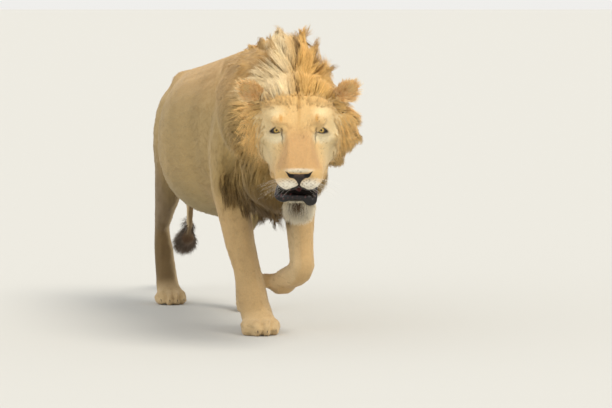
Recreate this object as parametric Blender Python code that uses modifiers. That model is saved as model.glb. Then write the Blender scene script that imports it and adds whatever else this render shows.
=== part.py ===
"""A male lion in mid-walk, life size, as a still museum model.

The animal faces -Y, its left side is +X and its feet stand on z = 0. It is modelled whole, coat and
mane included: lofts and muscle-shaped ellipsoids are fused by a voxel remesh and thinned, and the
one body is then parted into named pieces by thin cuts. Metres throughout.
"""

import math

import bmesh
import bpy
from mathutils import Euler, Matrix, Vector

for leftover in list(bpy.data.objects):
    bpy.data.objects.remove(leftover)

GAP = 0.0004  # thin cut between two neighbouring pieces
VOXEL = 0.006  # grid of the remesh that fuses the muscles
SMOOTHING_ALL = 3  # rounds of smoothing over the whole body
SMOOTHING_MUSCLES = 55  # further rounds where muscles run into each other
BODY_TRIANGLES = 3100  # what the thinned whole body keeps
THINNING = 0.05  # how strongly the thinning spares the face
CREASE = math.radians(50)  # edges sharper than this stay sharp
FAR = 6  # edge of a cutting block that reaches past the whole animal
SOLE = -0.004  # paws are modelled this far below the floor and trimmed flat at z = 0

CHEST_HALF = 0.185  # half the trunk's width behind the elbows
BELLY_HALF = 0.235  # half its width at the belly, its widest place
EYEBALL = 0.0185
EYE_APART = 0.067  # from the midline of the face to the centre of an eye

NOSE_TIP = Vector((-0.075, -0.645, 0.547))
HEAD_TURN = math.radians(-15)  # the face looks to the animal's right of its trunk
HEAD_DOWN = math.radians(36)  # the palate slopes down to the front
JAW_OPEN = math.radians(15)
JAW_HINGE = Vector((0, 0.253, -0.022))  # in the head's own frame


# Linear colour and roughness of each kind of surface.
COATS = {
    "coat": ((0.36, 0.24, 0.12), 0.85),
    "pale coat": ((0.52, 0.38, 0.22), 0.85),
    "mane": ((0.44, 0.24, 0.08), 0.80),
    "dark mane": ((0.12, 0.07, 0.035), 0.80),
    "nose leather": ((0.012, 0.010, 0.010), 0.45),
    "tongue": ((0.42, 0.12, 0.09), 0.40),
    "eye": ((0.50, 0.34, 0.08), 0.15),
}


def coat_of(name):
    kinds = (("nose", "nose leather"), ("tongue", "tongue"), ("eye", "eye"), ("mane_breast", "dark mane"),
             ("mane", "mane"), ("tail_tuft", "dark mane"), ("fore", "pale coat"), ("jaw", "pale coat"))
    return next((kind for start, kind in kinds if name.startswith(start)), "coat")


# ---------------------------------------------------------------- shapes

def smooth_path(stations, steps):
    """Catmull-Rom points through the stations, each a tuple of the same length."""
    ends = [stations[0], *stations, stations[-1]]
    points = []
    for a, b, c, d in zip(ends, ends[1:], ends[2:], ends[3:]):
        for step in range(steps):
            t = step / steps
            points.append([
                0.5 * (2 * q + (r - p) * t + (2 * p - 5 * q + 4 * r - s) * t * t
                       + (3 * q - p - 3 * r + s) * t ** 3)
                for p, q, r, s in zip(a, b, c, d)
            ])
    return points + [list(stations[-1])]


def skinned(rings):
    """A closed bmesh through rings of points, with a flat cap at each end."""
    shape = bmesh.new()
    loops = [[shape.verts.new(point) for point in ring] for ring in rings]
    for here, there in zip(loops, loops[1:]):
        for i in range(len(here)):
            j = (i + 1) % len(here)
            shape.faces.new((here[i], here[j], there[j], there[i]))
    shape.faces.new(reversed(loops[0]))
    shape.faces.new(loops[-1])
    bmesh.ops.recalc_face_normals(shape, faces=shape.faces)
    return shape


def barrel(stations, steps=6, sides=72, square=2.2):
    """A loft along Y. A station is y, top, widest height, bottom, half width, and shift of the middle."""
    rings = []
    for y, top, widest, bottom, half, middle in smooth_path(stations, steps):
        ring = []
        for i in range(sides):
            angle = math.tau * i / sides
            across = math.copysign(abs(math.cos(angle)) ** (2 / square), math.cos(angle))
            along = math.copysign(abs(math.sin(angle)) ** (2 / square), math.sin(angle))
            height = (top - widest) if along > 0 else (widest - bottom)
            ring.append(Vector((middle + half * across, y, widest + height * along)))
        rings.append(ring)
    return skinned(rings)


def limb(stations, steps=4, sides=16):
    """A loft down a limb. A station is x, y, z, half width across and half depth fore and aft."""
    path = smooth_path(stations, steps)
    rings = []
    for i, (x, y, z, across, deep) in enumerate(path):
        before, after = path[max(i - 1, 0)], path[min(i + 1, len(path) - 1)]
        along = (Vector(after[:3]) - Vector(before[:3])).normalized()
        side = (Vector((1, 0, 0)) - along * along.x).normalized()
        fore = along.cross(side)
        rings.append([
            Vector((x, y, z)) + side * across * math.cos(angle) + fore * deep * math.sin(angle)
            for angle in (math.tau * k / sides for k in range(sides))
        ])
    return skinned(rings)


def ball(centre, radii, turn=(0, 0, 0), segments=20):
    """An ellipsoid, turned by angles in degrees about its own centre."""
    shape = bmesh.new()
    bmesh.ops.create_uvsphere(shape, u_segments=segments, v_segments=segments // 2, radius=1)
    place = Matrix.LocRotScale(Vector(centre), Euler([math.radians(a) for a in turn]), Vector(radii))
    bmesh.ops.transform(shape, matrix=place, verts=shape.verts)
    return shape


def both_sides(centre, radii, turn=(0, 0, 0)):
    """The same ellipsoid on the left and, mirrored, on the right."""
    x, y, z = centre
    pitch, roll, yaw = turn
    return [ball(centre, radii, turn), ball((-x, y, z), radii, (pitch, -roll, -yaw))]


def moved(shapes, matrix):
    for shape in shapes:
        bmesh.ops.transform(shape, matrix=matrix, verts=shape.verts)
    return shapes


def object_of(name, shape, collection):
    mesh = bpy.data.meshes.new(name)
    shape.to_mesh(mesh)
    shape.free()
    made = bpy.data.objects.new(name, mesh)
    collection.objects.link(made)
    return made


def merged(name, shapes, collection):
    """One mesh object that holds all the shapes, still as loose bodies."""
    whole = bmesh.new()
    for shape in shapes:
        mesh = bpy.data.meshes.new("part")
        shape.to_mesh(mesh)
        shape.free()
        whole.from_mesh(mesh)
        bpy.data.meshes.remove(mesh)
    return object_of(name, whole, collection)


def with_modifiers_applied(made):
    graph = bpy.context.evaluated_depsgraph_get()
    mesh = bpy.data.meshes.new_from_object(made.evaluated_get(graph))
    made.modifiers.clear()
    old = made.data
    made.data = mesh
    bpy.data.meshes.remove(old)
    return made


# ---------------------------------------------------------------- head, in its own frame
# The nose tip is the origin, the face looks along -Y and the palate is level.

def half_sections(stations, steps=4):
    """A loft along Y, alike on both sides. A station is y and points (x, z) from crown to underside."""
    flat = [(y, *(value for point in points for value in point)) for y, points in stations]
    rings = []
    for y, *values in smooth_path(flat, steps):
        right = smooth_path(list(zip(values[0::2], values[1::2])), 4)
        outline = right + [(-x, z) for x, z in reversed(right[1:-1])]
        rings.append([Vector((x, y, z)) for x, z in outline])
    return skinned(rings)


def skull():
    """Broad flat bridge, deep square muzzle, low forehead and wide cheekbones."""
    shapes = [half_sections([
        (0.003, [(0, 0.024), (0.028, 0.022), (0.042, 0.006), (0.050, -0.012), (0.052, -0.032),
                 (0.038, -0.052), (0, -0.040)]),
        (0.027, [(0, 0.035), (0.030, 0.032), (0.050, 0.012), (0.066, -0.012), (0.072, -0.034),
                 (0.060, -0.058), (0, -0.046)]),
        (0.059, [(0, 0.049), (0.034, 0.046), (0.052, 0.020), (0.070, -0.008), (0.078, -0.036),
                 (0.068, -0.062), (0, -0.046)]),
        (0.096, [(0, 0.064), (0.036, 0.060), (0.051, 0.030), (0.069, 0.000), (0.079, -0.036),
                 (0.071, -0.068), (0, -0.046)]),
        (0.133, [(0, 0.078), (0.038, 0.074), (0.054, 0.042), (0.078, 0.010), (0.088, -0.032),
                 (0.080, -0.078), (0, -0.056)]),
        (0.167, [(0, 0.094), (0.042, 0.093), (0.070, 0.070), (0.100, 0.024), (0.104, -0.030),
                 (0.090, -0.090), (0, -0.072)]),
        (0.203, [(0, 0.112), (0.052, 0.112), (0.092, 0.086), (0.122, 0.032), (0.126, -0.030),
                 (0.106, -0.100), (0, -0.086)]),
        (0.243, [(0, 0.129), (0.058, 0.127), (0.101, 0.100), (0.132, 0.042), (0.134, -0.030),
                 (0.110, -0.105), (0, -0.090)]),
        (0.288, [(0, 0.137), (0.058, 0.134), (0.100, 0.108), (0.127, 0.050), (0.128, -0.030),
                 (0.104, -0.100), (0, -0.086)]),
        (0.333, [(0, 0.130), (0.050, 0.126), (0.086, 0.100), (0.108, 0.050), (0.110, -0.020),
                 (0.085, -0.085), (0, -0.076)]),
        (0.373, [(0, 0.104), (0.040, 0.098), (0.064, 0.080), (0.080, 0.045), (0.080, 0.000),
                 (0.060, -0.055), (0, -0.055)]),
    ])]
    shapes += both_sides((0.035, 0.026, -0.034), (0.035, 0.034, 0.031))  # whisker pads
    shapes += both_sides((0.064, 0.166, 0.086), (0.030, 0.022, 0.012), (30, 0, 12))  # brows
    shapes += both_sides((0.090, 0.193, 0.012), (0.034, 0.046, 0.030), (0, 0, 35))  # cheekbones
    return shapes


def lower_jaw():
    """Chin, lower lip and the branches of the jaw, swung open about the hinge."""
    shapes = [barrel([
        (0.010, -0.056, -0.082, -0.112, 0.032, 0),
        (0.022, -0.054, -0.086, -0.130, 0.047, 0),
        (0.055, -0.056, -0.086, -0.136, 0.053, 0),
        (0.100, -0.056, -0.084, -0.132, 0.061, 0),
        (0.148, -0.050, -0.080, -0.130, 0.074, 0),
        (0.203, -0.030, -0.070, -0.122, 0.090, 0),
        (0.258, -0.020, -0.060, -0.095, 0.080, 0),
    ], square=2.6)]
    shapes.append(ball((0, 0.030, -0.132), (0.046, 0.030, 0.028)))  # hair of the chin
    shapes += both_sides((0.066, 0.140, -0.066), (0.026, 0.046, 0.038))  # corners of the mouth
    shapes += both_sides((0.044, 0.066, -0.057), (0.014, 0.050, 0.014))  # rims of the lower lip
    shapes.append(ball((0, 0.076, -0.060), (0.032, 0.050, 0.021)))  # tongue
    return moved(shapes, OPENED)


def ear(side):
    """The rounded shell of an ear, standing out from the corner of the crown."""
    shapes = [
        ball((0, 0, 0.030), (0.042, 0.018, 0.046)),
        ball((0, 0.006, 0.0), (0.038, 0.026, 0.034)),
    ]
    return moved(shapes, ear_place(side))


def ear_hollow(side):
    return moved([ball((0, -0.020, 0.030), (0.029, 0.021, 0.033), segments=14)], ear_place(side))[0]


def eye_place(side):
    return Vector((EYE_APART * side, 0.163, 0.052))


def ear_place(side):
    tilt = Euler((math.radians(-8), math.radians(42 * side), math.radians(16 * side)))
    return HEAD @ Matrix.Translation((0.130 * side, 0.262, 0.098)) @ tilt.to_matrix().to_4x4()


HEAD = (
    Matrix.Translation(NOSE_TIP)
    @ Matrix.Rotation(HEAD_TURN, 4, "Z")
    @ Matrix.Rotation(HEAD_DOWN, 4, "X")
)
OPENED = (
    Matrix.Translation(JAW_HINGE)
    @ Matrix.Rotation(JAW_OPEN, 4, "X")
    @ Matrix.Translation(-JAW_HINGE)
)


# ---------------------------------------------------------------- trunk and neck

def trunk():
    shapes = [barrel([
        (-0.30, 0.820, 0.64, 0.520, 0.100, -0.01),
        (-0.18, 0.870, 0.63, 0.440, 0.145, 0),
        (-0.05, 0.910, 0.63, 0.405, 0.168, 0),
        (0.08, 0.924, 0.64, 0.390, CHEST_HALF, 0),
        (0.22, 0.908, 0.62, 0.370, 0.200, 0),
        (0.37, 0.887, 0.59, 0.345, 0.222, 0),
        (0.51, 0.868, 0.58, 0.330, BELLY_HALF, 0),
        (0.64, 0.853, 0.58, 0.348, 0.222, 0),
        (0.76, 0.843, 0.60, 0.430, 0.180, 0),
        (0.86, 0.830, 0.62, 0.510, 0.150, 0),
        (0.95, 0.803, 0.64, 0.565, 0.118, 0),
        (1.02, 0.762, 0.66, 0.610, 0.072, 0),
    ])]
    shapes += both_sides((0.078, 0.04, 0.775), (0.058, 0.10, 0.135), (-18, 16, 0))  # shoulder blades
    shapes += both_sides((0.070, -0.20, 0.54), (0.070, 0.075, 0.10))  # breast
    shapes += both_sides((0.070, 0.81, 0.755), (0.062, 0.14, 0.066), (10, 0, 6))  # hips
    return shapes


def neck():
    return [limb([
        (0.00, 0.02, 0.72, 0.150, 0.190),
        (-0.01, -0.12, 0.70, 0.140, 0.165),
        (-0.03, -0.24, 0.68, 0.125, 0.140),
        (-0.045, -0.36, 0.68, 0.110, 0.120),
    ])]


# ---------------------------------------------------------------- mane

def lock(root, tip, wide, thick, turn=0.0):
    """A flat pointed lock of hair from its root to its tip."""
    along = (tip - root).normalized()
    side = along.cross(Vector((0, 1, 0))).normalized()
    side = Matrix.Rotation(turn, 3, along) @ side
    face = along.cross(side)
    rings = []
    for part, size in ((0, 0.85), (0.3, 1), (0.6, 0.8), (0.85, 0.45), (1, 0.12)):
        centre = root.lerp(tip, part)
        rings.append([
            centre + side * wide * size * math.cos(angle) + face * thick * size * math.sin(angle)
            for angle in (math.tau * k / 10 for k in range(10))
        ])
    return skinned(rings)


def mane():
    """The hair's outer surface, out to the tips: neck, breast, ruff round the face and crest."""
    shapes = [
        limb([
            (0.00, 0.17, 0.80, 0.060, 0.080),
            (0.00, 0.10, 0.79, 0.110, 0.124),
            (0.00, 0.00, 0.775, 0.160, 0.162),
            (-0.01, -0.10, 0.75, 0.186, 0.182),
            (-0.03, -0.21, 0.715, 0.188, 0.185),
            (-0.045, -0.30, 0.69, 0.178, 0.180),
            (-0.055, -0.37, 0.665, 0.155, 0.160),
        ], sides=32),
        ball((-0.02, -0.22, 0.575), (0.130, 0.110, 0.165), (-14, 0, 0)),
        ball((0.0, -0.10, 0.480), (0.090, 0.090, 0.095)),
    ]
    shapes += moved(ruff(), HEAD)
    shapes += crest() + breast_locks()
    return shapes


def ruff():
    """Long hair that stands out round the cheeks and under the jaw, in pointed locks."""
    shapes = [ball((0, 0.296, -0.036), (0.174, 0.074, 0.160))]
    for side in (1, -1):
        for step in range(12):
            angle = math.radians(36 - 11.5 * step)
            fall = math.radians(12)
            root = Vector((0.120 * side * math.cos(angle), 0.252, 0.104 * math.sin(angle) - 0.024))
            tip = Vector((
                (0.192 + 0.010 * (step % 2)) * side * math.cos(angle - fall),
                0.282 + 0.022 * (step % 3),
                (0.172 + 0.012 * ((step + 1) % 2)) * math.sin(angle - fall) - 0.044,
            ))
            shapes.append(lock(root, tip, 0.030, 0.042))
    return shapes


def crest():
    """A fan of hair blown up off the crown and nape, lower towards the withers, with pointed locks."""
    fan = [half_sections([
        (-0.405, [(0, 0.850), (0.030, 0.845), (0.050, 0.830), (0.070, 0.800), (0.060, 0.740), (0, 0.72)]),
        (-0.365, [(0, 0.908), (0.036, 0.900), (0.068, 0.872), (0.098, 0.835), (0.105, 0.770), (0, 0.72)]),
        (-0.305, [(0, 0.950), (0.042, 0.938), (0.078, 0.905), (0.116, 0.858), (0.140, 0.790), (0, 0.72)]),
        (-0.240, [(0, 0.962), (0.044, 0.948), (0.084, 0.912), (0.124, 0.864), (0.156, 0.790), (0, 0.72)]),
        (-0.170, [(0, 0.955), (0.046, 0.942), (0.088, 0.908), (0.132, 0.860), (0.166, 0.780), (0, 0.72)]),
        (-0.090, [(0, 0.942), (0.052, 0.930), (0.096, 0.900), (0.140, 0.852), (0.172, 0.770), (0, 0.72)]),
        (0.000, [(0, 0.932), (0.058, 0.920), (0.100, 0.888), (0.138, 0.840), (0.160, 0.760), (0, 0.72)]),
        (0.080, [(0, 0.922), (0.050, 0.908), (0.084, 0.876), (0.108, 0.830), (0.110, 0.760), (0, 0.72)]),
    ])]
    locks = moved(fan, Matrix.Translation((-0.014, 0, 0)))
    rows = ((-0.358, 0.105, 0.115), (-0.295, 0.150, 0.137), (-0.230, 0.162, 0.148), (-0.160, 0.154, 0.158),
            (-0.085, 0.142, 0.158), (-0.010, 0.130, 0.145))
    for row, (y, height, half) in enumerate(rows):
        for lean in (-60, -32, -4, 24, 52):
            side = math.radians(lean + 12 * (row % 2))
            out = Vector((math.sin(side), 0.0, math.cos(side)))
            radius = height + (half - height) * abs(lean) / 80
            axis = Vector((-0.014, y, 0.800))
            tip = radius + 0.020 + 0.006 * ((row + lean // 4) % 3) - 0.002 * row
            root_at, tip_at = axis + out * (radius - 0.045), axis + out * tip + Vector((0, 0.022, 0))
            locks.append(lock(root_at, tip_at, 0.030, 0.038))
    return locks


def breast_locks():
    """Darker hair hanging from the throat down to between the forelegs."""
    locks = []
    for row, (y, top) in enumerate(((-0.30, 0.52), (-0.22, 0.475), (-0.13, 0.44), (-0.05, 0.425))):
        for x in (-0.066, -0.023, 0.021, 0.060):
            root = Vector((x - 0.012, y, top + 0.5 * abs(x)))
            drop = 0.072 - 0.25 * abs(x) + 0.010 * (row % 2)
            locks.append(lock(root, root + Vector((0, 0.018, -drop)), 0.032, 0.034))
    return locks


# ---------------------------------------------------------------- legs

def paw(length=1.0):
    """A front paw, toes along -Y, with the ankle above the origin and the sole just under z = 0."""
    shapes = [
        ball((0, 0.004, 0.046), (0.054, 0.056, 0.046)),
        ball((0, 0.030, 0.022), (0.046, 0.040, 0.026)),
    ]
    for x, y, wide in ((-0.045, -0.036, 0.0215), (-0.0165, -0.058, 0.023),
                       (0.0165, -0.058, 0.023), (0.045, -0.036, 0.0215)):
        shapes.append(ball((x, y * length, 0.029), (wide, 0.038, 0.031), (8, 0, -x * 350)))
    return shapes


def placed_paw(place, turn, size=(1, 1, 1), length=1.0):
    matrix = Matrix.LocRotScale(Vector(place), Euler([math.radians(a) for a in turn]), Vector(size))
    return moved(paw(length), matrix)


def right_foreleg():
    """Planted under the chest, close to the midline."""
    return [limb([
        (-0.070, 0.085, 0.860, 0.040, 0.070),
        (-0.108, 0.040, 0.760, 0.058, 0.115),
        (-0.130, -0.010, 0.640, 0.064, 0.135),
        (-0.132, 0.015, 0.540, 0.064, 0.120),
        (-0.116, 0.055, 0.455, 0.062, 0.088),
        (-0.099, 0.045, 0.375, 0.059, 0.068),
        (-0.087, 0.030, 0.290, 0.055, 0.055),
        (-0.068, 0.018, 0.210, 0.051, 0.048),
        (-0.060, 0.004, 0.150, 0.052, 0.048),
        (-0.053, -0.018, 0.090, 0.052, 0.048),
        (-0.044, -0.036, 0.045, 0.054, 0.048),
    ])] + placed_paw((-0.042, -0.046, SOLE), (0, 0, -8))


def left_foreleg():
    """Swinging forward: the forearm hangs and the wrist is folded, with the paw back and inward."""
    return [limb([
        (0.070, 0.060, 0.860, 0.040, 0.070),
        (0.108, 0.005, 0.760, 0.058, 0.110),
        (0.128, -0.060, 0.650, 0.064, 0.125),
        (0.126, -0.040, 0.560, 0.064, 0.114),
        (0.110, 0.000, 0.485, 0.061, 0.086),
        (0.099, -0.025, 0.410, 0.057, 0.066),
        (0.091, -0.060, 0.340, 0.051, 0.053),
        (0.088, -0.085, 0.262, 0.045, 0.046),
        (0.086, -0.092, 0.215, 0.044, 0.046),
        (0.073, -0.058, 0.188, 0.042, 0.042),
        (0.057, -0.004, 0.174, 0.043, 0.038),
    ])] + placed_paw((0.050, 0.030, 0.196), (168, 0, 20), (0.92, 1.02, 0.90))


def right_hindleg():
    """Behind the body, near the end of its push."""
    return [limb([
        (-0.072, 0.860, 0.755, 0.050, 0.115),
        (-0.100, 0.850, 0.680, 0.070, 0.150),
        (-0.118, 0.822, 0.580, 0.072, 0.148),
        (-0.128, 0.815, 0.490, 0.062, 0.112),
        (-0.128, 0.870, 0.400, 0.050, 0.080),
        (-0.122, 0.945, 0.330, 0.038, 0.056),
        (-0.116, 1.005, 0.275, 0.032, 0.044),
        (-0.112, 1.018, 0.225, 0.034, 0.038),
        (-0.108, 1.000, 0.145, 0.037, 0.036),
        (-0.105, 0.980, 0.080, 0.041, 0.038),
        (-0.104, 0.965, 0.045, 0.043, 0.038),
    ])] + placed_paw((-0.103, 0.950, SOLE), (0, 0, -5), (0.86, 0.92, 0.90))


def left_hindleg():
    """Just set down, well forward under the belly."""
    return [limb([
        (0.072, 0.850, 0.755, 0.050, 0.115),
        (0.102, 0.800, 0.680, 0.070, 0.150),
        (0.128, 0.700, 0.580, 0.074, 0.148),
        (0.136, 0.630, 0.490, 0.064, 0.110),
        (0.132, 0.655, 0.400, 0.052, 0.080),
        (0.125, 0.710, 0.325, 0.040, 0.058),
        (0.117, 0.765, 0.265, 0.033, 0.046),
        (0.112, 0.772, 0.215, 0.034, 0.040),
        (0.106, 0.720, 0.140, 0.037, 0.037),
        (0.106, 0.685, 0.080, 0.041, 0.038),
        (0.106, 0.665, 0.045, 0.043, 0.040),
    ])] + placed_paw((0.106, 0.650, SOLE), (0, 0, 3), (0.86, 0.92, 0.90))


# ---------------------------------------------------------------- tail

TAIL = [
    (0.0, 0.960, 0.765, 0.046, 0.046),
    (0.0, 1.040, 0.735, 0.040, 0.040),
    (0.005, 1.120, 0.650, 0.030, 0.031),
    (0.015, 1.165, 0.520, 0.024, 0.025),
    (0.028, 1.190, 0.390, 0.021, 0.022),
    (0.040, 1.235, 0.270, 0.019, 0.020),
    (0.050, 1.310, 0.195, 0.019, 0.019),
]


def tail():
    tuft = lock(Vector((0.047, 1.285, 0.200)), Vector((0.066, 1.470, 0.160)), 0.036, 0.036)
    return [limb(TAIL, sides=14), tuft]


# ---------------------------------------------------------------- one body

def weigh(made, name, weight_of):
    """A vertex group whose weight depends on the place."""
    group = made.vertex_groups.new(name=name)
    for vertex in made.data.vertices:
        group.add([vertex.index], weight_of(vertex.co), "REPLACE")


def face_nearness(point):
    """1 on the face, falling to 0 behind the crest."""
    centre = HEAD @ Vector((0, 0.14, 0))
    return max(0.0, min(1.0, (0.36 - (point - centre).length) / 0.12))


def muscled(point):
    """1 on the trunk, shoulders and thighs, where the muscles run softly into each other."""
    along = min(1.0, max(0.0, (point.y + 0.12) / 0.12)) * min(1.0, max(0.0, (1.03 - point.y) / 0.05))
    return along * min(1.0, max(0.0, (point.z - 0.36) / 0.08))


def detail(point):
    """How much the thinning spares a place: the face most, then paws and mane, the trunk least."""
    paw_nearness = max(0.0, min(1.0, (0.16 - point.z) / 0.05))
    return max(0.9 * face_nearness(point), 0.5 * paw_nearness, 0.1)


def softened(made, iterations, group=""):
    smooth = made.modifiers.new("soften", "SMOOTH")
    smooth.factor = 0.5
    smooth.iterations = iterations
    smooth.vertex_group = group


def whole_lion(collection):
    shapes = trunk() + neck() + mane() + tail()
    shapes += right_foreleg() + left_foreleg() + right_hindleg() + left_hindleg()
    shapes += moved(skull() + lower_jaw(), HEAD) + ear(1) + ear(-1)
    lion = merged("lion", shapes, collection)
    remesh = lion.modifiers.new("fuse", "REMESH")
    remesh.mode = "VOXEL"
    remesh.voxel_size = VOXEL
    with_modifiers_applied(lion)
    weigh(lion, "muscled", muscled)
    softened(lion, SMOOTHING_ALL)
    softened(lion, SMOOTHING_MUSCLES, "muscled")
    with_modifiers_applied(lion)
    weigh(lion, "detail", detail)
    thin = lion.modifiers.new("thin", "DECIMATE")
    thin.ratio = BODY_TRIANGLES / (2 * len(lion.data.polygons))
    thin.vertex_group = "detail"
    thin.invert_vertex_group = True
    thin.vertex_group_factor = THINNING
    with_modifiers_applied(lion)
    lion.vertex_groups.clear()
    return lion


# ---------------------------------------------------------------- parting

def half_space(point, facing):
    """A region on the side of a plane that `facing` points to."""
    def shape(shrink):
        box = bmesh.new()
        bmesh.ops.create_cube(box, size=FAR)
        facing_to = Vector(facing).normalized()
        turn = facing_to.to_track_quat("Z", "Y").to_matrix().to_4x4()
        place = Matrix.Translation(Vector(point) + facing_to * (FAR / 2 + shrink)) @ turn
        bmesh.ops.transform(box, matrix=place, verts=box.verts)
        return box
    return shape


def oval(centre, radii, turn=(0, 0, 0), frame=Matrix()):
    """A region inside an ellipsoid."""
    def shape(shrink):
        return moved([ball(centre, [r - shrink for r in radii], turn, 12)], frame)[0]
    return shape


def block(low, high, frame=Matrix()):
    """A region inside a box, given by two corners in a frame."""
    def shape(shrink):
        box = bmesh.new()
        bmesh.ops.create_cube(box, size=1)
        size = [b - a - 2 * shrink for a, b in zip(low, high)]
        middle = [(a + b) / 2 for a, b in zip(low, high)]
        place = frame @ Matrix.LocRotScale(Vector(middle), None, Vector(size))
        bmesh.ops.transform(box, matrix=place, verts=box.verts)
        return box
    return shape


def tube(start, end, radius):
    """A region inside a round bar from one point to another."""
    def shape(shrink):
        a, b = Vector(start), Vector(end)
        bar = bmesh.new()
        bmesh.ops.create_cone(
            bar, cap_ends=True, segments=16, radius1=radius - shrink, radius2=radius - shrink,
            depth=(b - a).length - 2 * shrink,
        )
        place = Matrix.Translation((a + b) / 2) @ (b - a).to_track_quat("Z", "Y").to_matrix().to_4x4()
        bmesh.ops.transform(bar, matrix=place, verts=bar.verts)
        return bar
    return shape


def boolean(made, shape, operation):
    cutter = object_of("cutter", shape, cutters)
    cutter.display_type = "WIRE"
    cutter.hide_render = True
    cut = made.modifiers.new(operation.lower(), "BOOLEAN")
    cut.operation = operation
    cut.solver = "EXACT"
    cut.object = cutter
    with_modifiers_applied(made)
    bpy.data.objects.remove(cutter)


def largest_body(made):
    """Drops the loose slivers that a cut can leave beside the piece."""
    shape = bmesh.new()
    shape.from_mesh(made.data)
    left, bodies = set(shape.verts), []
    while left:
        body, edge = set(), [left.pop()]
        while edge:
            vertex = edge.pop()
            body.add(vertex)
            for link in vertex.link_edges:
                other = link.other_vert(vertex)
                if other in left:
                    left.remove(other)
                    edge.append(other)
        bodies.append(body)
    bodies.sort(key=len)
    slivers = [vertex for body in bodies[:-1] for vertex in body]
    bmesh.ops.delete(shape, geom=slivers, context="VERTS")
    shape.to_mesh(made.data)
    shape.free()


def take(piece, region, name):
    """Parts `piece` by a thin cut: what lies in the region becomes `name`, and the rest stays."""
    taken = piece.copy()
    taken.data = piece.data.copy()
    taken.name = name
    pieces.objects.link(taken)
    boolean(taken, region(GAP), "INTERSECT")
    boolean(piece, region(0), "DIFFERENCE")
    largest_body(taken)
    largest_body(piece)
    return taken


pieces = bpy.data.collections.new("walking lion")
cutters = bpy.data.collections.new("cutters")
cutters.hide_render = True
bpy.context.scene.collection.children.link(pieces)
bpy.context.scene.collection.children.link(cutters)

lion = whole_lion(pieces)
boolean(lion, half_space((0, 0, 0), (0, 0, -1))(0), "DIFFERENCE")  # flat soles
for side in (1, -1):
    boolean(lion, ear_hollow(side), "DIFFERENCE")
    boolean(lion, moved([ball(eye_place(side), [EYEBALL + GAP] * 3, segments=16)], HEAD)[0], "DIFFERENCE")

# head
take(lion, oval((0, -0.002, 0.044), (0.062, 0.046, 0.050), frame=ear_place(1)), "ear_left")
take(lion, oval((0, -0.002, 0.044), (0.062, 0.046, 0.050), frame=ear_place(-1)), "ear_right")
head = take(lion, block((-0.3, -0.1, -0.26), (0.3, 0.246, 0.3), HEAD), "head")
take(head, block((-0.047, -0.03, -0.026), (0.047, 0.013, 0.04), HEAD), "nose")
jaw = take(head, block((-0.3, -0.1, -0.3), (0.3, 0.3, -0.083), HEAD), "jaw")
take(jaw, block((-0.036, 0.020, -0.050), (0.036, 0.120, 0.0), HEAD @ OPENED), "tongue")

# legs
paw_frame = Matrix.Translation((0.002, 0, 0)) @ Matrix.Rotation(math.radians(20), 4, "Z")
take(lion, block((0, -0.3, 0.08), (0.3, 0.3, 0.235), paw_frame), "forepaw_left")
take(lion, oval((0.150, -0.02, 0.67), (0.100, 0.150, 0.200)), "upper_arm_left")
take(lion, tube((0.122, 0.03, 0.560), (0.0845, -0.10, 0.19), 0.086), "forearm_left")
take(lion, block((-0.3, -0.3, -0.1), (0.06, 0.2, 0.150)), "forepaw_right")
take(lion, oval((-0.152, 0.03, 0.66), (0.100, 0.150, 0.205)), "upper_arm_right")
take(lion, tube((-0.135, 0.075, 0.560), (-0.052, -0.01, 0.11), 0.088), "forearm_right")
take(lion, block((-0.3, 0.82, -0.1), (-0.01, 1.15, 0.215)), "hindfoot_right")
take(lion, oval((-0.145, 0.83, 0.62), (0.100, 0.165, 0.190)), "thigh_right")
take(lion, tube((-0.135, 0.75, 0.520), (-0.110, 1.06, 0.17), 0.098), "shank_right")
take(lion, block((0.01, 0.5, -0.1), (0.3, 0.95, 0.205)), "hindfoot_left")
take(lion, oval((0.150, 0.71, 0.62), (0.100, 0.175, 0.180), (12, 0, 0)), "thigh_left")
take(lion, tube((0.142, 0.56, 0.540), (0.108, 0.815, 0.15), 0.098), "shank_left")

# tail
tail_base = take(lion, half_space((0, 1.050, 0.73), (0, 1, -0.35)), "tail_base")
tail_middle = take(tail_base, half_space((0, 0, 0.585), (0, 0, -1)), "tail_middle")
tail_end = take(tail_middle, half_space((0, 0, 0.330), (0, 0, -1)), "tail_end")
take(tail_end, half_space((0.048, 1.285, 0.2), (0, 1, -0.5)), "tail_tuft")

# mane and trunk
ruff_right = take(lion, block((-0.3, 0.2, -0.3), (0.3, 0.338, 0.3), HEAD), "mane_ruff_right")
take(ruff_right, half_space(HEAD @ Vector((0, 0.3, 0)), HEAD.to_3x3() @ Vector((1, 0, 0))), "mane_ruff_left")
nape = Matrix.Translation((0, -0.15, 0.845)) @ Matrix.Rotation(math.radians(10), 4, "X")
take(lion, block((-0.3, -0.5, 0), (0.3, 0.22, 0.4), nape), "mane_crest")
take(lion, block((-0.3, -0.6, 0.2), (0.3, -0.03, 0.585)), "mane_breast")
take(lion, half_space((0, -0.03, 0.70), (0, -1, 0.15)), "mane_neck")
take(lion, half_space((0, 0.26, 0), (0, -1, 0)), "chest")
take(lion, half_space((0, 0.66, 0.6), (0, 1, 0.1)), "hindquarters")
take(lion, half_space((0, 0, 0.66), (0, 0, 1)), "back")
lion.name = "belly"

for side, name in ((1, "eye_left"), (-1, "eye_right")):
    object_of(name, moved([ball(eye_place(side), [EYEBALL] * 3, segments=16)], HEAD)[0], pieces)

# Each piece has its origin at its own middle and is held by an empty under the middle of the animal.
def bounds(corners):
    return [(min(c[i] for c in corners), max(c[i] for c in corners)) for i in range(3)]


def middle_of(corners):
    return Vector([(low + high) / 2 for low, high in bounds(corners)])


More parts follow.
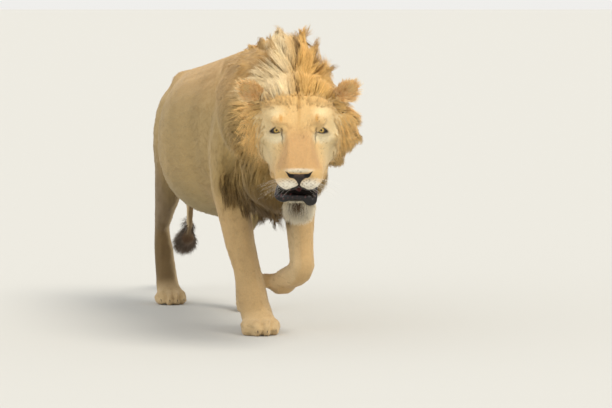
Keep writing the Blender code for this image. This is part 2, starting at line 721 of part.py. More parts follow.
under = middle_of([vertex.co for made in pieces.objects for vertex in made.data.vertices])
under.z = 0
stand = bpy.data.objects.new("lion_middle", None)
solids = list(pieces.objects)
pieces.objects.link(stand)
for made in solids:
    centre = middle_of([vertex.co for vertex in made.data.vertices])
    made.data.transform(Matrix.Translation(-centre))
    made.data.shade_smooth()
    made.data.set_sharp_from_angle(angle=CREASE)
    made.parent = stand
    made.location = centre - under
    colour, roughness = COATS[coat_of(made.name)]
    coat = bpy.data.materials.new(made.name)
    coat.use_nodes = True
    shader = coat.node_tree.nodes["Principled BSDF"]
    shader.inputs["Base Color"].default_value = (*colour, 1)
    shader.inputs["Roughness"].default_value = roughness
    shader.inputs["Metallic"].default_value = 0
    made.data.materials.clear()
    made.data.materials.append(coat)
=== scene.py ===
import math

import bmesh
import bpy
import numpy as np
from mathutils import Matrix, Vector
from mathutils.bvhtree import BVHTree


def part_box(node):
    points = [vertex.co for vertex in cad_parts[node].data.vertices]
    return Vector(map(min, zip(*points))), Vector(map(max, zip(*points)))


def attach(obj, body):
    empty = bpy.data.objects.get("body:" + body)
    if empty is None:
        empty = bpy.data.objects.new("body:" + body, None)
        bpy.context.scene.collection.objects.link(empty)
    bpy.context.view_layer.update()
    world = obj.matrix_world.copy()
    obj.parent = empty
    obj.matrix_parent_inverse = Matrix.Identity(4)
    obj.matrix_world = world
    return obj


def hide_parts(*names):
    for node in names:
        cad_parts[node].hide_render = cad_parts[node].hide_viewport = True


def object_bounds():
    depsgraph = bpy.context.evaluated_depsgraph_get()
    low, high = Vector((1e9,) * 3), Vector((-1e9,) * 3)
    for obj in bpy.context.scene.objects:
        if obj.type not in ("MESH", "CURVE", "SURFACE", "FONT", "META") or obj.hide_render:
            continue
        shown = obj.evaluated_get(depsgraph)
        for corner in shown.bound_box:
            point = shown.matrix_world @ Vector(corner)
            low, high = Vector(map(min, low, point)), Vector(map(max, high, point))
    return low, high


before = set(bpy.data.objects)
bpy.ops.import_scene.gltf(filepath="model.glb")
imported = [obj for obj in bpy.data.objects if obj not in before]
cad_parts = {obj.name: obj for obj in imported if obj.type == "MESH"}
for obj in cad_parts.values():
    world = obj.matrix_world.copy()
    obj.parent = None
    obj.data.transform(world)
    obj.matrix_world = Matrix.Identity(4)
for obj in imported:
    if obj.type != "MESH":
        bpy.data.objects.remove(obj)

cad_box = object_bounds()

# ---------------------------------------------------------------- where it is seen from
# A long lens a little above the height of the lion's back, straight ahead of its face.
# The animal walks towards it, so the body runs away behind the head to the left.

VIEW_FROM = (-2.925, -11.320, 1.287)
VIEW_TURN = 15.62
VIEW_DROP = 4.41
LENS = 205.8
FARTHEST = 60


def placed(name, data):
    """A mesh, a lamp or a camera, put into the scene as an object of its own."""
    made = bpy.data.objects.new(name, data)
    bpy.context.collection.objects.link(made)
    return made


camera = placed("camera", bpy.data.cameras.new("camera"))
camera.location = VIEW_FROM
camera.rotation_euler = (math.radians(90 - VIEW_DROP), 0, math.radians(-VIEW_TURN))
camera.data.lens = LENS
camera.data.clip_end = FARTHEST
bpy.context.scene.camera = camera


# ---------------------------------------------------------------- floor and studio light
# A matt pale floor, one large soft lamp high on the right and a weaker one that fills the shade.
# The room itself is an even pale grey, so the underside of the belly keeps its colour.

def linear(colour):
    """The linear red, green and blue of an sRGB colour written as #rrggbb."""
    parts = [int(colour[i:i + 2], 16) / 255 for i in (1, 3, 5)]
    return np.array([c / 12.92 if c <= 0.04045 else ((c + 0.055) / 1.055) ** 2.4 for c in parts])


def opaque(colour):
    """The same with full cover, as a socket takes it."""
    return (*linear(colour), 1)


def node(tree, kind, values=None, links=None, **settings):
    """Adds one node, sets it up and links the given sockets into it."""
    made = tree.nodes.new(kind)
    for name, value in settings.items():
        setattr(made, name, value)
    for name, value in (values or {}).items():
        made.inputs[name].default_value = value
    for name, socket in (links or {}).items():
        tree.links.new(socket, made.inputs[name])
    return made


def surface(name, colour, roughness, **shader_values):
    """A new material of one colour, with its tree and its shader, ready for more nodes."""
    made = bpy.data.materials.new(name)
    made.use_nodes = True
    shader = made.node_tree.nodes["Principled BSDF"]
    shader.inputs["Base Color"].default_value = opaque(colour)
    shader.inputs["Roughness"].default_value = roughness
    for socket, value in shader_values.items():
        shader.inputs[socket.replace("_", " ")].default_value = value
    return made, made.node_tree, shader


def plate(name, size, height, finish):
    """A square sheet lying level."""
    bm = bmesh.new()
    bmesh.ops.create_grid(bm, x_segments=1, y_segments=1, size=size / 2)
    mesh = bpy.data.meshes.new(name)
    bm.to_mesh(mesh)
    bm.free()
    mesh.materials.append(finish)
    made = placed(name, mesh)
    made.location.z = height
    return made


def sun(name, turn, height, spread, strength, colour):
    """Light from far away; spread is how wide it looks, so how soft its shadows are, in degrees."""
    lamp = placed(name, bpy.data.lights.new(name, "SUN"))
    lamp.data.angle = math.radians(spread)
    lamp.data.energy = strength
    lamp.data.color = linear(colour)
    lamp.rotation_euler = (math.radians(90 - height), 0, math.radians(turn))


# Matt paper: an even ground without gloss, so only the soft shadow shows on it.
paper = surface("matt_paper", "#c6c6c2", 0.95)[0]
floor = plate("floor", size=400, height=-0.0005, finish=paper)
sun("key", turn=35, height=56, spread=30, strength=2.1, colour="#fff7ea")
sun("fill", turn=-60, height=30, spread=60, strength=0.45, colour="#f2f6ff")
room = bpy.data.worlds.new("pale_room")
room.use_nodes = True
backdrop = room.node_tree.nodes["Background"].inputs
backdrop["Color"].default_value = opaque("#f3f2ef")
backdrop["Strength"].default_value = 0.97
bpy.context.scene.world = room
bpy.context.scene.view_settings.view_transform = "Standard"


# ---------------------------------------------------------------- skin
# One hide over head, trunk, legs and tail. It lies inside the solids by the depth of the coat.
# The solids are welded into one closed form, evened out, and then given their finer folds.

MANE_NODES = ["mane_crest", "mane_neck", "mane_breast", "mane_ruff_left", "mane_ruff_right"]
APART = ["eye_left", "eye_right", "nose", "tongue"]
FLESH_NODES = [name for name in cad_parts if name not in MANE_NODES + APART]
OVERLAP = 0.0007  # each solid swells by this, so that neighbours weld across their thin gaps
VOXEL = 0.0086


def welded(names, swell=0.0):
    """Corners, triangles and the node number of each triangle, of several nodes together."""
    corners, faces, owner, start = [], [], [], 0
    for number, name in enumerate(names):
        bm = bmesh.new()
        bm.from_mesh(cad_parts[name].data)
        bmesh.ops.remove_doubles(bm, verts=bm.verts, dist=1e-5)
        bmesh.ops.triangulate(bm, faces=bm.faces)
        bm.normal_update()
        corners.append(np.array([v.co + v.normal * swell for v in bm.verts]))
        faces.append(np.array([[v.index for v in f.verts] for f in bm.faces]) + start)
        owner += [number] * len(bm.faces)
        start += len(bm.verts)
        bm.free()
    return np.concatenate(corners), np.concatenate(faces), np.array(owner)


def mesh_of(name, corners, faces):
    """A mesh from numpy corners and faces that all have the same number of sides."""
    sides = faces.shape[1]
    mesh = bpy.data.meshes.new(name)
    mesh.vertices.add(len(corners))
    mesh.vertices.foreach_set("co", np.ascontiguousarray(corners, np.float32).ravel())
    mesh.loops.add(faces.size)
    mesh.loops.foreach_set("vertex_index", np.ascontiguousarray(faces, np.int32).ravel())
    mesh.polygons.add(len(faces))
    mesh.polygons.foreach_set("loop_start", np.arange(0, faces.size, sides, dtype=np.int32))
    mesh.update(calc_edges=True)
    return mesh


def read(collection, what, width, kind=np.float64):
    """One value, or a row of this width, for each item of a mesh's list."""
    out = np.empty(len(collection) * width, kind)
    collection.foreach_get(what, out)
    return out.reshape(-1, width) if width > 1 else out


def remeshed(name, corners, faces, voxel):
    """One closed evenly gridded mesh around these solids."""
    made = placed(name, mesh_of(name, corners, faces))
    grid = made.modifiers.new("grid", "REMESH")
    grid.mode = "VOXEL"
    grid.voxel_size = voxel
    graph = bpy.context.evaluated_depsgraph_get()
    mesh = bpy.data.meshes.new_from_object(made.evaluated_get(graph))
    bpy.data.objects.remove(made)
    return mesh


def length_of(vectors):
    return np.sqrt((vectors * vectors).sum(-1, keepdims=True))


def unit(vectors):
    return vectors / np.maximum(length_of(vectors), 1e-9)


def fade(value, start, end):
    """0 at start, 1 at end, smooth between them."""
    t = np.clip((value - start) / (end - start), 0, 1)
    return t * t * (3 - 2 * t)


def evened(values, edges, rounds, strength=0.5):
    """Averages values along the edges; strength may be one number or one for each corner."""
    values = np.array(values, float)
    flat = values.ndim == 1
    if flat:
        values = values[:, None]
    ends = np.concatenate([edges[:, 0], edges[:, 1]])
    others = np.concatenate([edges[:, 1], edges[:, 0]])
    count = np.maximum(np.bincount(ends, minlength=len(values)), 1)[:, None]
    strength = np.broadcast_to(np.asarray(strength, float), (len(values),))[:, None]
    for _ in range(rounds):
        mean = np.stack([np.bincount(ends, values[others, k], len(values))
                         for k in range(values.shape[1])], 1) / count
        values = values + (mean - values) * strength
    return values[:, 0] if flat else values


def rounded(places, edges, rounds, strength):
    """Evens out corners without letting thin legs shrink: each step in is followed by one out."""
    for _ in range(rounds):
        places = evened(places, edges, 1, 0.55 * strength)
        places = evened(places, edges, 1, -0.57 * strength)
    return places


def tree_of(corners, faces):
    return BVHTree.FromPolygons(corners.tolist(), faces.tolist())


def nearest(tree, points):
    """For each point: the nearest place on the surface, its normal, and which face it is on."""
    found = [tree.find_nearest(p) for p in points.tolist()]
    places = np.array([f[0] for f in found])
    normals = np.array([f[1] for f in found])
    return places, normals, np.array([f[2] for f in found])


# The head's own frame: the nose is its origin, +X the lion's left, +Y back and +Z up.
# FACE stays level and HEAD tips down with the skull.
HEAD_TURN = math.radians(-15)
HEAD_DOWN = math.radians(36)
EYE_FROM_NOSE = Vector((0, 0.163, 0.052))
SIDES = {"left": 1, "right": -1}
eye_centres = {side: sum(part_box("eye_" + side), Vector()) / 2 for side in SIDES}
turned = Matrix.Rotation(HEAD_TURN, 4, "Z")
tipped = turned @ Matrix.Rotation(HEAD_DOWN, 4, "X")
nose_point = (eye_centres["left"] + eye_centres["right"]) / 2 - tipped.to_3x3() @ EYE_FROM_NOSE
HEAD = Matrix.Translation(nose_point) @ tipped
FACE = Matrix.Translation(nose_point) @ turned
HEAD_WAYS = np.array(HEAD.to_3x3())
FACE_WAYS = np.array(FACE.to_3x3())
AHEAD = np.array(FACE.to_3x3() @ Vector((0, -1, 0)))


def seen_from(place, points):
    """Points of the world in the frame of that place."""
    into = np.array(place.inverted())
    return points @ into[:3, :3].T + into[:3, 3]


def put_back(place, points):
    """Points of that place's frame in the world."""
    out = np.array(place)
    return points @ out[:3, :3].T + out[:3, 3]


# Under the mane the neck is a plain muscular column from the shoulders to the back of the skull.
BALL_SIDES = 28
NECK_AT_SKULL = np.array([0.088, 0.085, 0.100])
NECK_AT_WITHERS = np.array([0.115, 0.09, 0.165])
NECK_SAG = 0.035


def ball(place, radii):
    """Corners and triangles of a ball with these three radii."""
    bm = bmesh.new()
    bmesh.ops.create_uvsphere(bm, u_segments=BALL_SIDES, v_segments=BALL_SIDES // 2, radius=1)
    bmesh.ops.triangulate(bm, faces=bm.faces)
    corners = np.array([v.co for v in bm.verts]) * radii + place
    faces = np.array([[v.index for v in f.verts] for f in bm.faces])
    bm.free()
    return corners, faces


skull_back = np.array(HEAD @ Vector((0, 0.31, 0.015)))
withers = np.array([0.0, -0.30, 0.70])
neck_parts = []
for t in np.linspace(0, 1, 11):
    centre = skull_back * (1 - t) + withers * t - np.array([0, 0, NECK_SAG]) * math.sin(math.pi * t)
    neck_parts.append(ball(centre, NECK_AT_SKULL * (1 - t) + NECK_AT_WITHERS * t))

# Behind the skull the neck leans to one side, by this share of its distance.
NECK_LEAN = -0.27
NECK_START = 0.30


def neck_middle(back):
    """How far the middle of the neck lies aside, this far back in the level face frame."""
    return NECK_LEAN * np.maximum(back - NECK_START, 0)


def neck_place(points):
    """Places in the level face frame, with x measured from the middle of the neck."""
    local = seen_from(FACE, points)
    local[:, 0] -= neck_middle(local[:, 1])
    return local


def short_mane(points):
    """1 where the mane is no longer than a coat: high on the sides of the neck, behind the ears."""
    local = neck_place(points)
    narrow = 0.150 - 0.080 * fade(local[:, 2], 0.28, 0.38)
    side_on = fade(np.abs(local[:, 0]) - narrow, -0.015, 0.015)
    return side_on * fade(local[:, 1], 0.24, 0.30) * fade(local[:, 2], -0.10, 0.0)


MANE_DEPTH = 0.055


def neck_flesh():
    """The mane's solids, drawn in towards the middle of the neck wherever their hair is long."""
    corners, faces, _ = welded([n for n in MANE_NODES if "ruff" not in n])
    along = withers - skull_back
    t = np.clip((corners - skull_back) @ along / (along @ along), 0, 1)
    middle = skull_back + t[:, None] * along
    middle[:, 2] -= NECK_SAG * np.sin(math.pi * t)
    off = corners - middle
    far = length_of(off)[:, 0]
    depth = MANE_DEPTH - 0.040 * fade(neck_place(corners)[:, 1], 0.46, 0.72)
    kept = np.clip(1 - depth / np.maximum(far, 1e-6), 0.4, 1)
    kept = kept + (1 - kept) * short_mane(corners)
    return middle + off * kept[:, None], faces


THROAT_RADII = (0.085, 0.070, 0.060)
throat = np.array(FACE @ Vector((-0.033, 0.354, 0.028)))
neck_parts += [neck_flesh(), ball(throat, THROAT_RADII)]
flesh, flesh_faces, _ = welded(FLESH_NODES + ["nose", "eye_left", "eye_right"], OVERLAP)
for corners, faces in neck_parts:
    flesh_faces = np.concatenate([flesh_faces, faces + len(flesh)])
    flesh = np.concatenate([flesh, corners])
skin_mesh = remeshed("skin", flesh, flesh_faces, VOXEL)

# The face and the feet are divided once more, because their folds are finer than the grid.
bm = bmesh.new()
bm.from_mesh(skin_mesh)
head_centre = HEAD @ Vector((0, 0.13, 0.0))
into_head = HEAD.inverted()
lifted_paw = sum(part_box("forepaw_left"), Vector()) / 2
HEAD_REACH, SKULL_LENGTH, SOLE_REACH, PAW_REACH = 0.30, 0.27, 0.055, 0.11
near = {v for v in bm.verts
        if ((v.co - head_centre).length < HEAD_REACH and (into_head @ v.co).y < SKULL_LENGTH)
        or v.co.z < SOLE_REACH or (v.co - lifted_paw).length < PAW_REACH}
bmesh.ops.subdivide_edges(
    bm, edges=[e for e in bm.edges if e.verts[0] in near and e.verts[1] in near],
    cuts=1, use_grid_fill=True)
bmesh.ops.triangulate(bm, faces=[f for f in bm.faces if len(f.verts) != 4])
bm.to_mesh(skin_mesh)
bm.free()

places = read(skin_mesh.vertices, "co", 3)
edges = read(skin_mesh.edges, "vertices", 2, np.int32)

# Which solid each corner came from settles its lie of coat, its length and its smoothness.
ALL_NODES = FLESH_NODES + MANE_NODES + APART
cad_corners, cad_faces, cad_owner = welded(ALL_NODES)
cad_tree = tree_of(cad_corners, cad_faces)
on_cad, _, face_of = nearest(cad_tree, places)
owner = cad_owner[face_of]


def is_part(*words):
    """True for each corner whose solid's name starts with one of these words."""
    chosen = [k for k, name in enumerate(ALL_NODES) if name.startswith(words)]
    return np.isin(owner, chosen)


on_head = is_part("head", "jaw", "ear", "nose", "eye", "tongue")
on_paw = is_part("forepaw", "hindfoot")
# Trunk and limbs are smoothed fully, the head and the paws only a little, so they keep their forms.
smoothing = evened(np.where(on_head, 0.28, np.where(on_paw, 0.35, 1.0)), edges, 6)
places = rounded(places, edges, 14, smoothing)
places = evened(places, edges, 30, 0.5 * evened(is_part("mane").astype(float), edges, 10))

skin_mesh.vertices.foreach_set("co", places.ravel())
skin_mesh.update()
normals = read(skin_mesh.vertex_normals, "vector", 3)

# The solids go out to the tips of the hair, so the skin sinks by the thickness of the coat.
COAT_DEPTH = 0.0065
FACE_DEPTH = 0.0028
PAW_DEPTH = 0.0026
depth = np.where(on_head, FACE_DEPTH, np.where(on_paw, PAW_DEPTH, COAT_DEPTH))
depth = evened(depth, edges, 20) * fade(places[:, 2], 0.002, 0.022)
places = places - normals * depth[:, None]


def press(points, normals, frame_at, centre, radii, height):
    """Raises, or with a minus sinks, the skin around one place in that frame; both sides alike."""
    local = seen_from(frame_at, points)
    local[:, 0] = np.abs(local[:, 0])
    away = (local - centre) / radii
    amount = height * np.exp(-1.5 * (away * away).sum(1))
    return points + normals * amount[:, None]


# Folds of the face, in the head's frame: place, reach and height.
for centre, radii, height in (
    ((0.034, 0.020, -0.034), (0.026, 0.030, 0.020), 0.0040),   # pad that the whiskers grow from
    ((0.000, 0.000, -0.036), (0.004, 0.020, 0.030), -0.0060),  # groove under the nose
    ((0.046, 0.140, 0.046), (0.008, 0.012, 0.010), -0.0050),   # inner corner of the eye
    ((0.044, 0.118, 0.036), (0.006, 0.024, 0.010), -0.0022),   # tear groove
    ((0.066, 0.172, 0.084), (0.026, 0.012, 0.010), 0.0030),    # brow
    ((0.078, 0.150, 0.028), (0.020, 0.018, 0.008), 0.0030),    # fold under the eye
    ((0.000, 0.150, 0.088), (0.014, 0.040, 0.020), -0.0030),   # hollow between the brows
    ((0.062, 0.075, 0.000), (0.012, 0.040, 0.016), -0.0026),   # side of the bridge
    ((0.074, 0.105, -0.040), (0.012, 0.030, 0.016), 0.0036),   # cheek over the back teeth
):
    places = press(places, normals, HEAD, centre, radii, height)

# The nostrils are hollows on each side of the nose, in the level face frame.
places = press(places, normals, FACE, (0.0245, 0.020, 0.0045), (0.0095, 0.030, 0.0048), -0.0085)

# Four toes to a foot: three creases run back from its front edge.
FEET = (  # turn in degrees, distance between toes, and how far the toes lie off the box's middle
    ("forepaw_right", -8, 0.031, 0.022),
    ("hindfoot_right", -5, 0.027, 0.0),
    ("hindfoot_left", 3, 0.027, 0.0),
)
TOE_CREASE = (0.0065, 0.040, 0.034)
CREASE_DEPTH = 0.0095
for foot, turn, wide, off_middle in FEET:
    low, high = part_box(foot)
    toes = (Matrix.Translation(((low.x + high.x) / 2 + off_middle, low.y + 0.012, 0.026))
            @ Matrix.Rotation(math.radians(turn), 4, "Z"))
    for offset in (-wide, 0, wide):
        crease = toes @ Matrix.Translation((offset, 0, 0))
        places = press(places, normals, crease, (0, 0, 0), TOE_CREASE, -CREASE_DEPTH)

skin_mesh.vertices.foreach_set("co", places.ravel())
skin_mesh.update()
skin_mesh.shade_smooth()
normals = read(skin_mesh.vertex_normals, "vector", 3)
skin = placed("skin", skin_mesh)

# The unwrap of the skin also places every tuft's own small patch.
bpy.context.view_layer.objects.active = skin
skin.select_set(True)
skin_mesh.uv_layers.new(name="OFBake")
bpy.ops.object.mode_set(mode="EDIT")
bpy.ops.mesh.select_all(action="SELECT")
bpy.ops.uv.smart_project(angle_limit=math.radians(66), island_margin=0.001)
bpy.ops.object.mode_set(mode="OBJECT")
skin_mesh.calc_loop_triangles()
corner_of = read(skin_mesh.loop_triangles, "vertices", 3, np.int32)
loop_of = read(skin_mesh.loop_triangles, "loops", 3, np.int32)
unwrap = read(skin_mesh.uv_layers["OFBake"].uv, "vector", 2)


# ---------------------------------------------------------------- markings
# One set of colours for the hide and for the hair that grows from each place on it.
# Tan along the back, paler below and inside the legs, a dark tear line and a near-white muzzle.

def plain(colour, many):
    """One row of this colour for each of so many places."""
    return np.tile(linear(colour), (many, 1))


def painted(base, *layers):
    """The base with each (colour, amount) laid over the one before; amounts run from 0 to 1."""
    for colour, amount in layers:
        base = base + (linear(colour) - base) * np.clip(amount, 0, 1)[:, None]
    return base


def patch(local, centre, radii, softness=0.5):
    """1 inside an ellipsoid around the centre, 0 outside, with a soft edge."""
    away = np.sqrt((((local - centre) / radii) ** 2).sum(1))
    return fade(-away, -1 - softness, -1 + softness)


def ripple(points, size, seed):
    """A smooth uneven field between -1 and 1 with features about this size."""
    rng = np.random.default_rng(seed)
    total = np.zeros(len(points))
    for _ in range(6):
        way = rng.normal(size=3)
        total += np.sin(points @ (way / np.linalg.norm(way)) * (2 * math.pi / size)
                        * rng.uniform(0.6, 1.5) + rng.uniform(0, 6.3))
    return np.clip(total / 3.0, -1, 1)


def in_mouth(points, facing):
    """1 on the roof and the floor of the open mouth, and between its lips at both corners."""
    place = seen_from(HEAD, points)
    looks = facing @ HEAD_WAYS
    roof = fade(-looks[:, 2], 0.30, 0.60) * patch(place, (0, 0.085, -0.056), (0.062, 0.095, 0.024), 0.2)
    bed = fade(looks[:, 2], 0.20, 0.50) * patch(place, (0, 0.085, -0.088), (0.056, 0.095, 0.034), 0.2)
    level = seen_from(FACE, points)
    outward = (facing @ FACE_WAYS)[:, 0] * np.sign(level[:, 0])
    # The skin between the ends of the lips, facing inwards or far enough back.
    corner = (fade(-np.abs(level[:, 0] + 0.004), -0.072, -0.066)
              * fade(0.016 * fade(level[:, 1], 0.085, 0.105) - level[:, 2], 0.028, 0.034)
              * np.maximum(fade(-outward, -0.75, -0.45), fade(-level[:, 1], -0.135, -0.120))
              * fade(level[:, 2], -0.086, -0.078)
              * fade(level[:, 1] + 0.03 * fade(np.abs(level[:, 0]), 0.042, 0.052), 0.055, 0.070)
              * fade(-level[:, 1], -0.20, -0.18))
    return np.maximum(np.maximum(roof, bed), corner)


# The leather of the nose has this outline: a bar with raised wings, and a point below it.
NOSE_HALF = 0.0425


def nose_top(x):
    """The height of the leather's upper edge, this far from the middle."""
    return 0.0105 + 0.0070 * fade(x, 0.024, NOSE_HALF)


def nose_height(x):
    """How far the leather reaches down from its upper edge there."""
    return (0.0012 + 0.0125 * (1 - fade(x, 0.030, NOSE_HALF)) + 0.0170 * np.exp(-(x / 0.0115) ** 2)
            + 0.0170 * np.exp(-(x / 0.0034) ** 2))


def on_nose(local, margin=0.0):
    """1 where the bare leather of the nose lies, in the level face frame."""
    aside = np.abs(local[:, 0])
    under = nose_top(aside) - nose_height(aside)
    inside = fade(nose_top(aside) + margin - local[:, 2], -0.0005, 0.0010)
    inside = inside * fade(local[:, 2] - under + margin, -0.0005, 0.0010)
    return inside * fade(NOSE_HALF + margin - aside, -0.0005, 0.0010) * fade(-local[:, 1], -0.09, -0.07)


def markings(points, facing):
    """The colour of the coat at each place; facing is the way its skin looks."""
    x, y, z = points.T
    legs = fade(-z, -0.50, -0.34) * fade(-np.abs(y + 0.38), -0.26, -0.18)
    hind = fade(y, 0.20, 0.45) * fade(-z, -0.66, -0.40)
    inner = fade(-facing[:, 0] * np.sign(x), 0.2, 0.9) * fade(-z, -0.55, -0.42)
    face = seen_from(FACE, points)
    ahead = face.copy()
    ahead[:, 0] = np.abs(ahead[:, 0])
    here = fade(-face[:, 1], -0.33, -0.26)
    colour = painted(
        plain("#a58a56", len(points)),
        ("#ba945a", fade(z, 0.68, 0.86)),                              # back
        ("#948050", fade(-z, -0.52, -0.36) * fade(y, -0.30, 0.0)),     # belly
        ("#bfa071", legs),                                             # forelegs
        # The hind legs are painted darker: mostly painted shade, over a dustier brown of their own.
        ("#6e583a", hind * 0.90),                                      # hind legs
        # The rump is a little darker and greener: partly its own tone, partly painted shade.
        ("#a08a54", fade(y, 0.45, 0.80) * fade(z, 0.40, 0.60) * 0.7),  # rump
        ("#cdb58c", inner * 0.8),                                      # inside of the legs
        ("#c9ae82", fade(-z, -0.10, -0.02)),                           # feet
        ("#4a3420", fade(y, 0.84, 0.89)),                              # end of the tail
        ("#d6b37a", here),                                             # head
    )
    for shade, centre, radii, softness, strength in (
        ("#c39c64", (0, 0.08, 0.07), (0.034, 0.12, 0.08), 0.5, 1.0),        # bridge of the nose
        ("#d9c293", (0.105, 0.16, 0.10), (0.045, 0.12, 0.09), 0.5, 1.0),    # cheeks
        ("#ddb572", (0, 0.2, 0.27), (0.10, 0.16, 0.06), 0.5, 1.0),          # forehead
        ("#b48849", (0, 0.2, 0.24), (0.006, 0.16, 0.09), 0.7, 0.8),         # line down its middle
        ("#e6d6b0", (0.068, 0.11, 0.116), (0.034, 0.06, 0.018), 0.5, 1.0),  # pale under the eyes
        ("#e6d0a0", (0.068, 0.14, 0.190), (0.030, 0.06, 0.022), 0.5, 1.0),  # pale over the eyes
        ("#c08a3c", (0.055, 0.12, 0.174), (0.006, 0.06, 0.012), 0.6, 1.0),  # tawny spot over each eye
    ):
        colour = painted(colour, (shade, here * patch(ahead, centre, radii, softness) * strength))
    slide = np.clip((0.146 - ahead[:, 2]) / 0.06, 0, 1)
    line = 0.0535 - 0.0045 * slide + 0.0012 * np.sin(ahead[:, 2] * 260)
    tear = fade(-np.abs(ahead[:, 0] - line), -0.0048 + 0.0024 * slide, -0.0006)
    tear = tear * fade(ahead[:, 2], 0.070, 0.125) * fade(-ahead[:, 2], -0.150, -0.143)
    muzzle = fade(-face[:, 1], -0.075, -0.045)
    rows = np.sin(ahead[:, 2] * 2 * math.pi / 0.009) * np.sin(ahead[:, 0] * 2 * math.pi / 0.013)
    spots = fade(rows, 0.55, 0.9) * patch(ahead, (0.036, 0.01, -0.018), (0.028, 0.07, 0.018), 0.3)
    chin = fade(-face[:, 1], -0.16, -0.10) * fade(-face[:, 2], 0.050, 0.062)
    dark = patch(ahead, (0, 0.03, -0.098), (0.026, 0.06, 0.016))
    trunk_spot = fade(ripple(points, 0.016, 8), 0.55, 0.85) * fade(ripple(points, 0.12, 9), -0.1, 0.5)
    fleck = fade(ripple(points, 0.009, 5) * ripple(points, 0.014, 6), 0.52, 0.70)
    region = fade(ripple(points, 0.09, 7), -0.2, 0.4)
    colour = painted(
        colour,
        ("#33251a", here * tear * 0.85 * fade(-ahead[:, 1], -0.16, -0.13)),
        ("#c8a06c", muzzle * fade(ahead[:, 2], 0.012, 0.03)),
        ("#f2ead8", muzzle * patch(ahead, (0.032, 0.01, -0.030), (0.038, 0.07, 0.022))),
        ("#e4d8bf", muzzle * patch(ahead, (0.000, 0.0, 0.020), (0.040, 0.05, 0.006))),
        ("#7d6446", muzzle * spots * 0.8),
        ("#d9cdb2", chin),
        ("#4a3a28", chin * dark * 0.9),
        ("#7c643c", trunk_spot * (1 - here) * 0.28),
        ("#7a5c3a", fleck * region * here * 0.6),
    )
    shade = 1 + 0.05 * ripple(points, 0.21, 3) + 0.04 * ripple(points, 0.05, 4)
    # The open mouth and the corners between the lips are painted near black: their own dark lining, darkened
    # further as painted shade.
    return painted(colour * shade[:, None], ("#150d0b", in_mouth(points, facing)))


def tint(mesh, colours):
    """Stores a colour for each corner of a mesh."""
    layer = mesh.color_attributes.new("tint", "FLOAT_COLOR", "POINT")
    full = np.ones((len(colours), 4), np.float32)
    full[:, :3] = colours
    layer.data.foreach_set("color", full.ravel())


def hairy(name, roughness, streak):
    """Hair or hide: its stored tint with a little unevenness of this size, in metres."""
    made, tree, shader = surface(name, "#a98d5d", roughness, Specular_IOR_Level=0.22, Sheen_Weight=0.30,
                                 Sheen_Roughness=0.5, Sheen_Tint=opaque("#fff0d8"))
    where = node(tree, "ShaderNodeTexCoord")
    stored = node(tree, "ShaderNodeVertexColor", layer_name="tint")
    uneven = node(tree, "ShaderNodeTexNoise", {"Scale": 1 / streak, "Detail": 3.0},
                  {"Vector": where.outputs["Object"]})
    gain = node(tree, "ShaderNodeMapRange", {"To Min": 0.86, "To Max": 1.14},
                {"Value": uneven.outputs["Fac"]})
    scaled = node(tree, "ShaderNodeVectorMath", operation="SCALE",
                  links={0: stored.outputs["Color"], "Scale": gain.outputs["Result"]})
    tree.links.new(scaled.outputs["Vector"], shader.inputs["Base Color"])
    return made, tree, shader, uneven


# Hide: matt under its hair, with a faint sheen and fine ridges where it shows.
hide, hide_tree, hide_shader, hide_noise = hairy("hide", 0.8, 0.006)
ridges = node(hide_tree, "ShaderNodeBump", {"Strength": 0.5, "Distance": 0.0012},
              {"Height": hide_noise.outputs["Fac"]})
hide_tree.links.new(ridges.outputs["Normal"], hide_shader.inputs["Normal"])
skin_mesh.materials.append(hide)
tint(skin_mesh, markings(places, normals))
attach(skin, "root")
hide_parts(*FLESH_NODES)


# ---------------------------------------------------------------- lie of the coat
# Hair runs back from the nose, over the crown and along the trunk, and down every leg to the toes.
# Each solid has its own way, and the ways are evened into each other across the skin.

LIE = {  # the way the hair runs: towards the lion's left, back and up
    "belly": (0, 1, -0.10), "back": (0, 1, -0.06), "chest": (0, 0.8, -0.55),
    "hindquarters": (0, 0.85, -0.5), "upper_arm": (0, 0.35, -1), "forearm": (0, 0.10, -1),
    "forepaw_right": (0, -0.9, -0.5), "forepaw_left": (-0.3, 0.7, -0.5),
    "thigh": (0, 0.4, -1), "shank": (0, 0.12, -1), "hindfoot": (0, -0.7, -0.6),
    "tail_base": (0, 0.8, -0.6), "tail_middle": (0.05, 0.25, -1), "tail_end": (0.1, 0.5, -0.7),
    "tail_tuft": (0.1, 1, -0.2), "mane": (0, 0.7, -0.6),
}
LENGTHS = {  # of the hair on each part
    "belly": 0.024, "back": 0.019, "chest": 0.021, "hindquarters": 0.020, "upper_arm": 0.018,
    "forearm": 0.013, "forepaw": 0.008, "thigh": 0.017, "shank": 0.012, "hindfoot": 0.008,
    "tail_": 0.013, "head": 0.0085, "jaw": 0.0115, "ear": 0.011, "nose": 0.005, "mane": 0.034,
}


def levelled(ways, normals, share=1.0):
    """Ways turned along the surface, by dropping this share of what points out of it."""
    return unit(ways - normals * (ways * normals).sum(1, keepdims=True) * share)


flow = np.tile([0.0, 1.0, -0.3], (len(places), 1))
for start, way in LIE.items():
    flow[is_part(start)] = way
from_nose = seen_from(HEAD, places) - np.array([0, -0.035, -0.012])
from_nose[:, 1] = from_nose[:, 1] * 1.2 + 0.01
on_face = is_part("head", "jaw", "nose", "eye", "tongue")
flow[on_face] = (unit(from_nose) @ HEAD_WAYS.T)[on_face]
for side, out in SIDES.items():
    low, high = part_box("ear_" + side)
    root = np.array([(low.x + high.x) / 2 - 0.02 * out, high.y, low.z])
    on_ear = is_part("ear_" + side)
    flow[on_ear] = unit(places[on_ear] - root)
flow = levelled(evened(unit(flow), edges, 26), normals)
hair_length = np.full(len(places), 0.015)
for start, reach in LENGTHS.items():
    hair_length[is_part(start)] = reach
face_places = seen_from(FACE, places)
muzzle_near = fade(-from_nose[:, 1], -0.14, -0.04) * on_face
hair_length = hair_length * (1 - 0.35 * muzzle_near)
rim = fade(face_places[:, 2], 0.215, 0.265) + fade(np.abs(face_places[:, 0]), 0.108, 0.128)
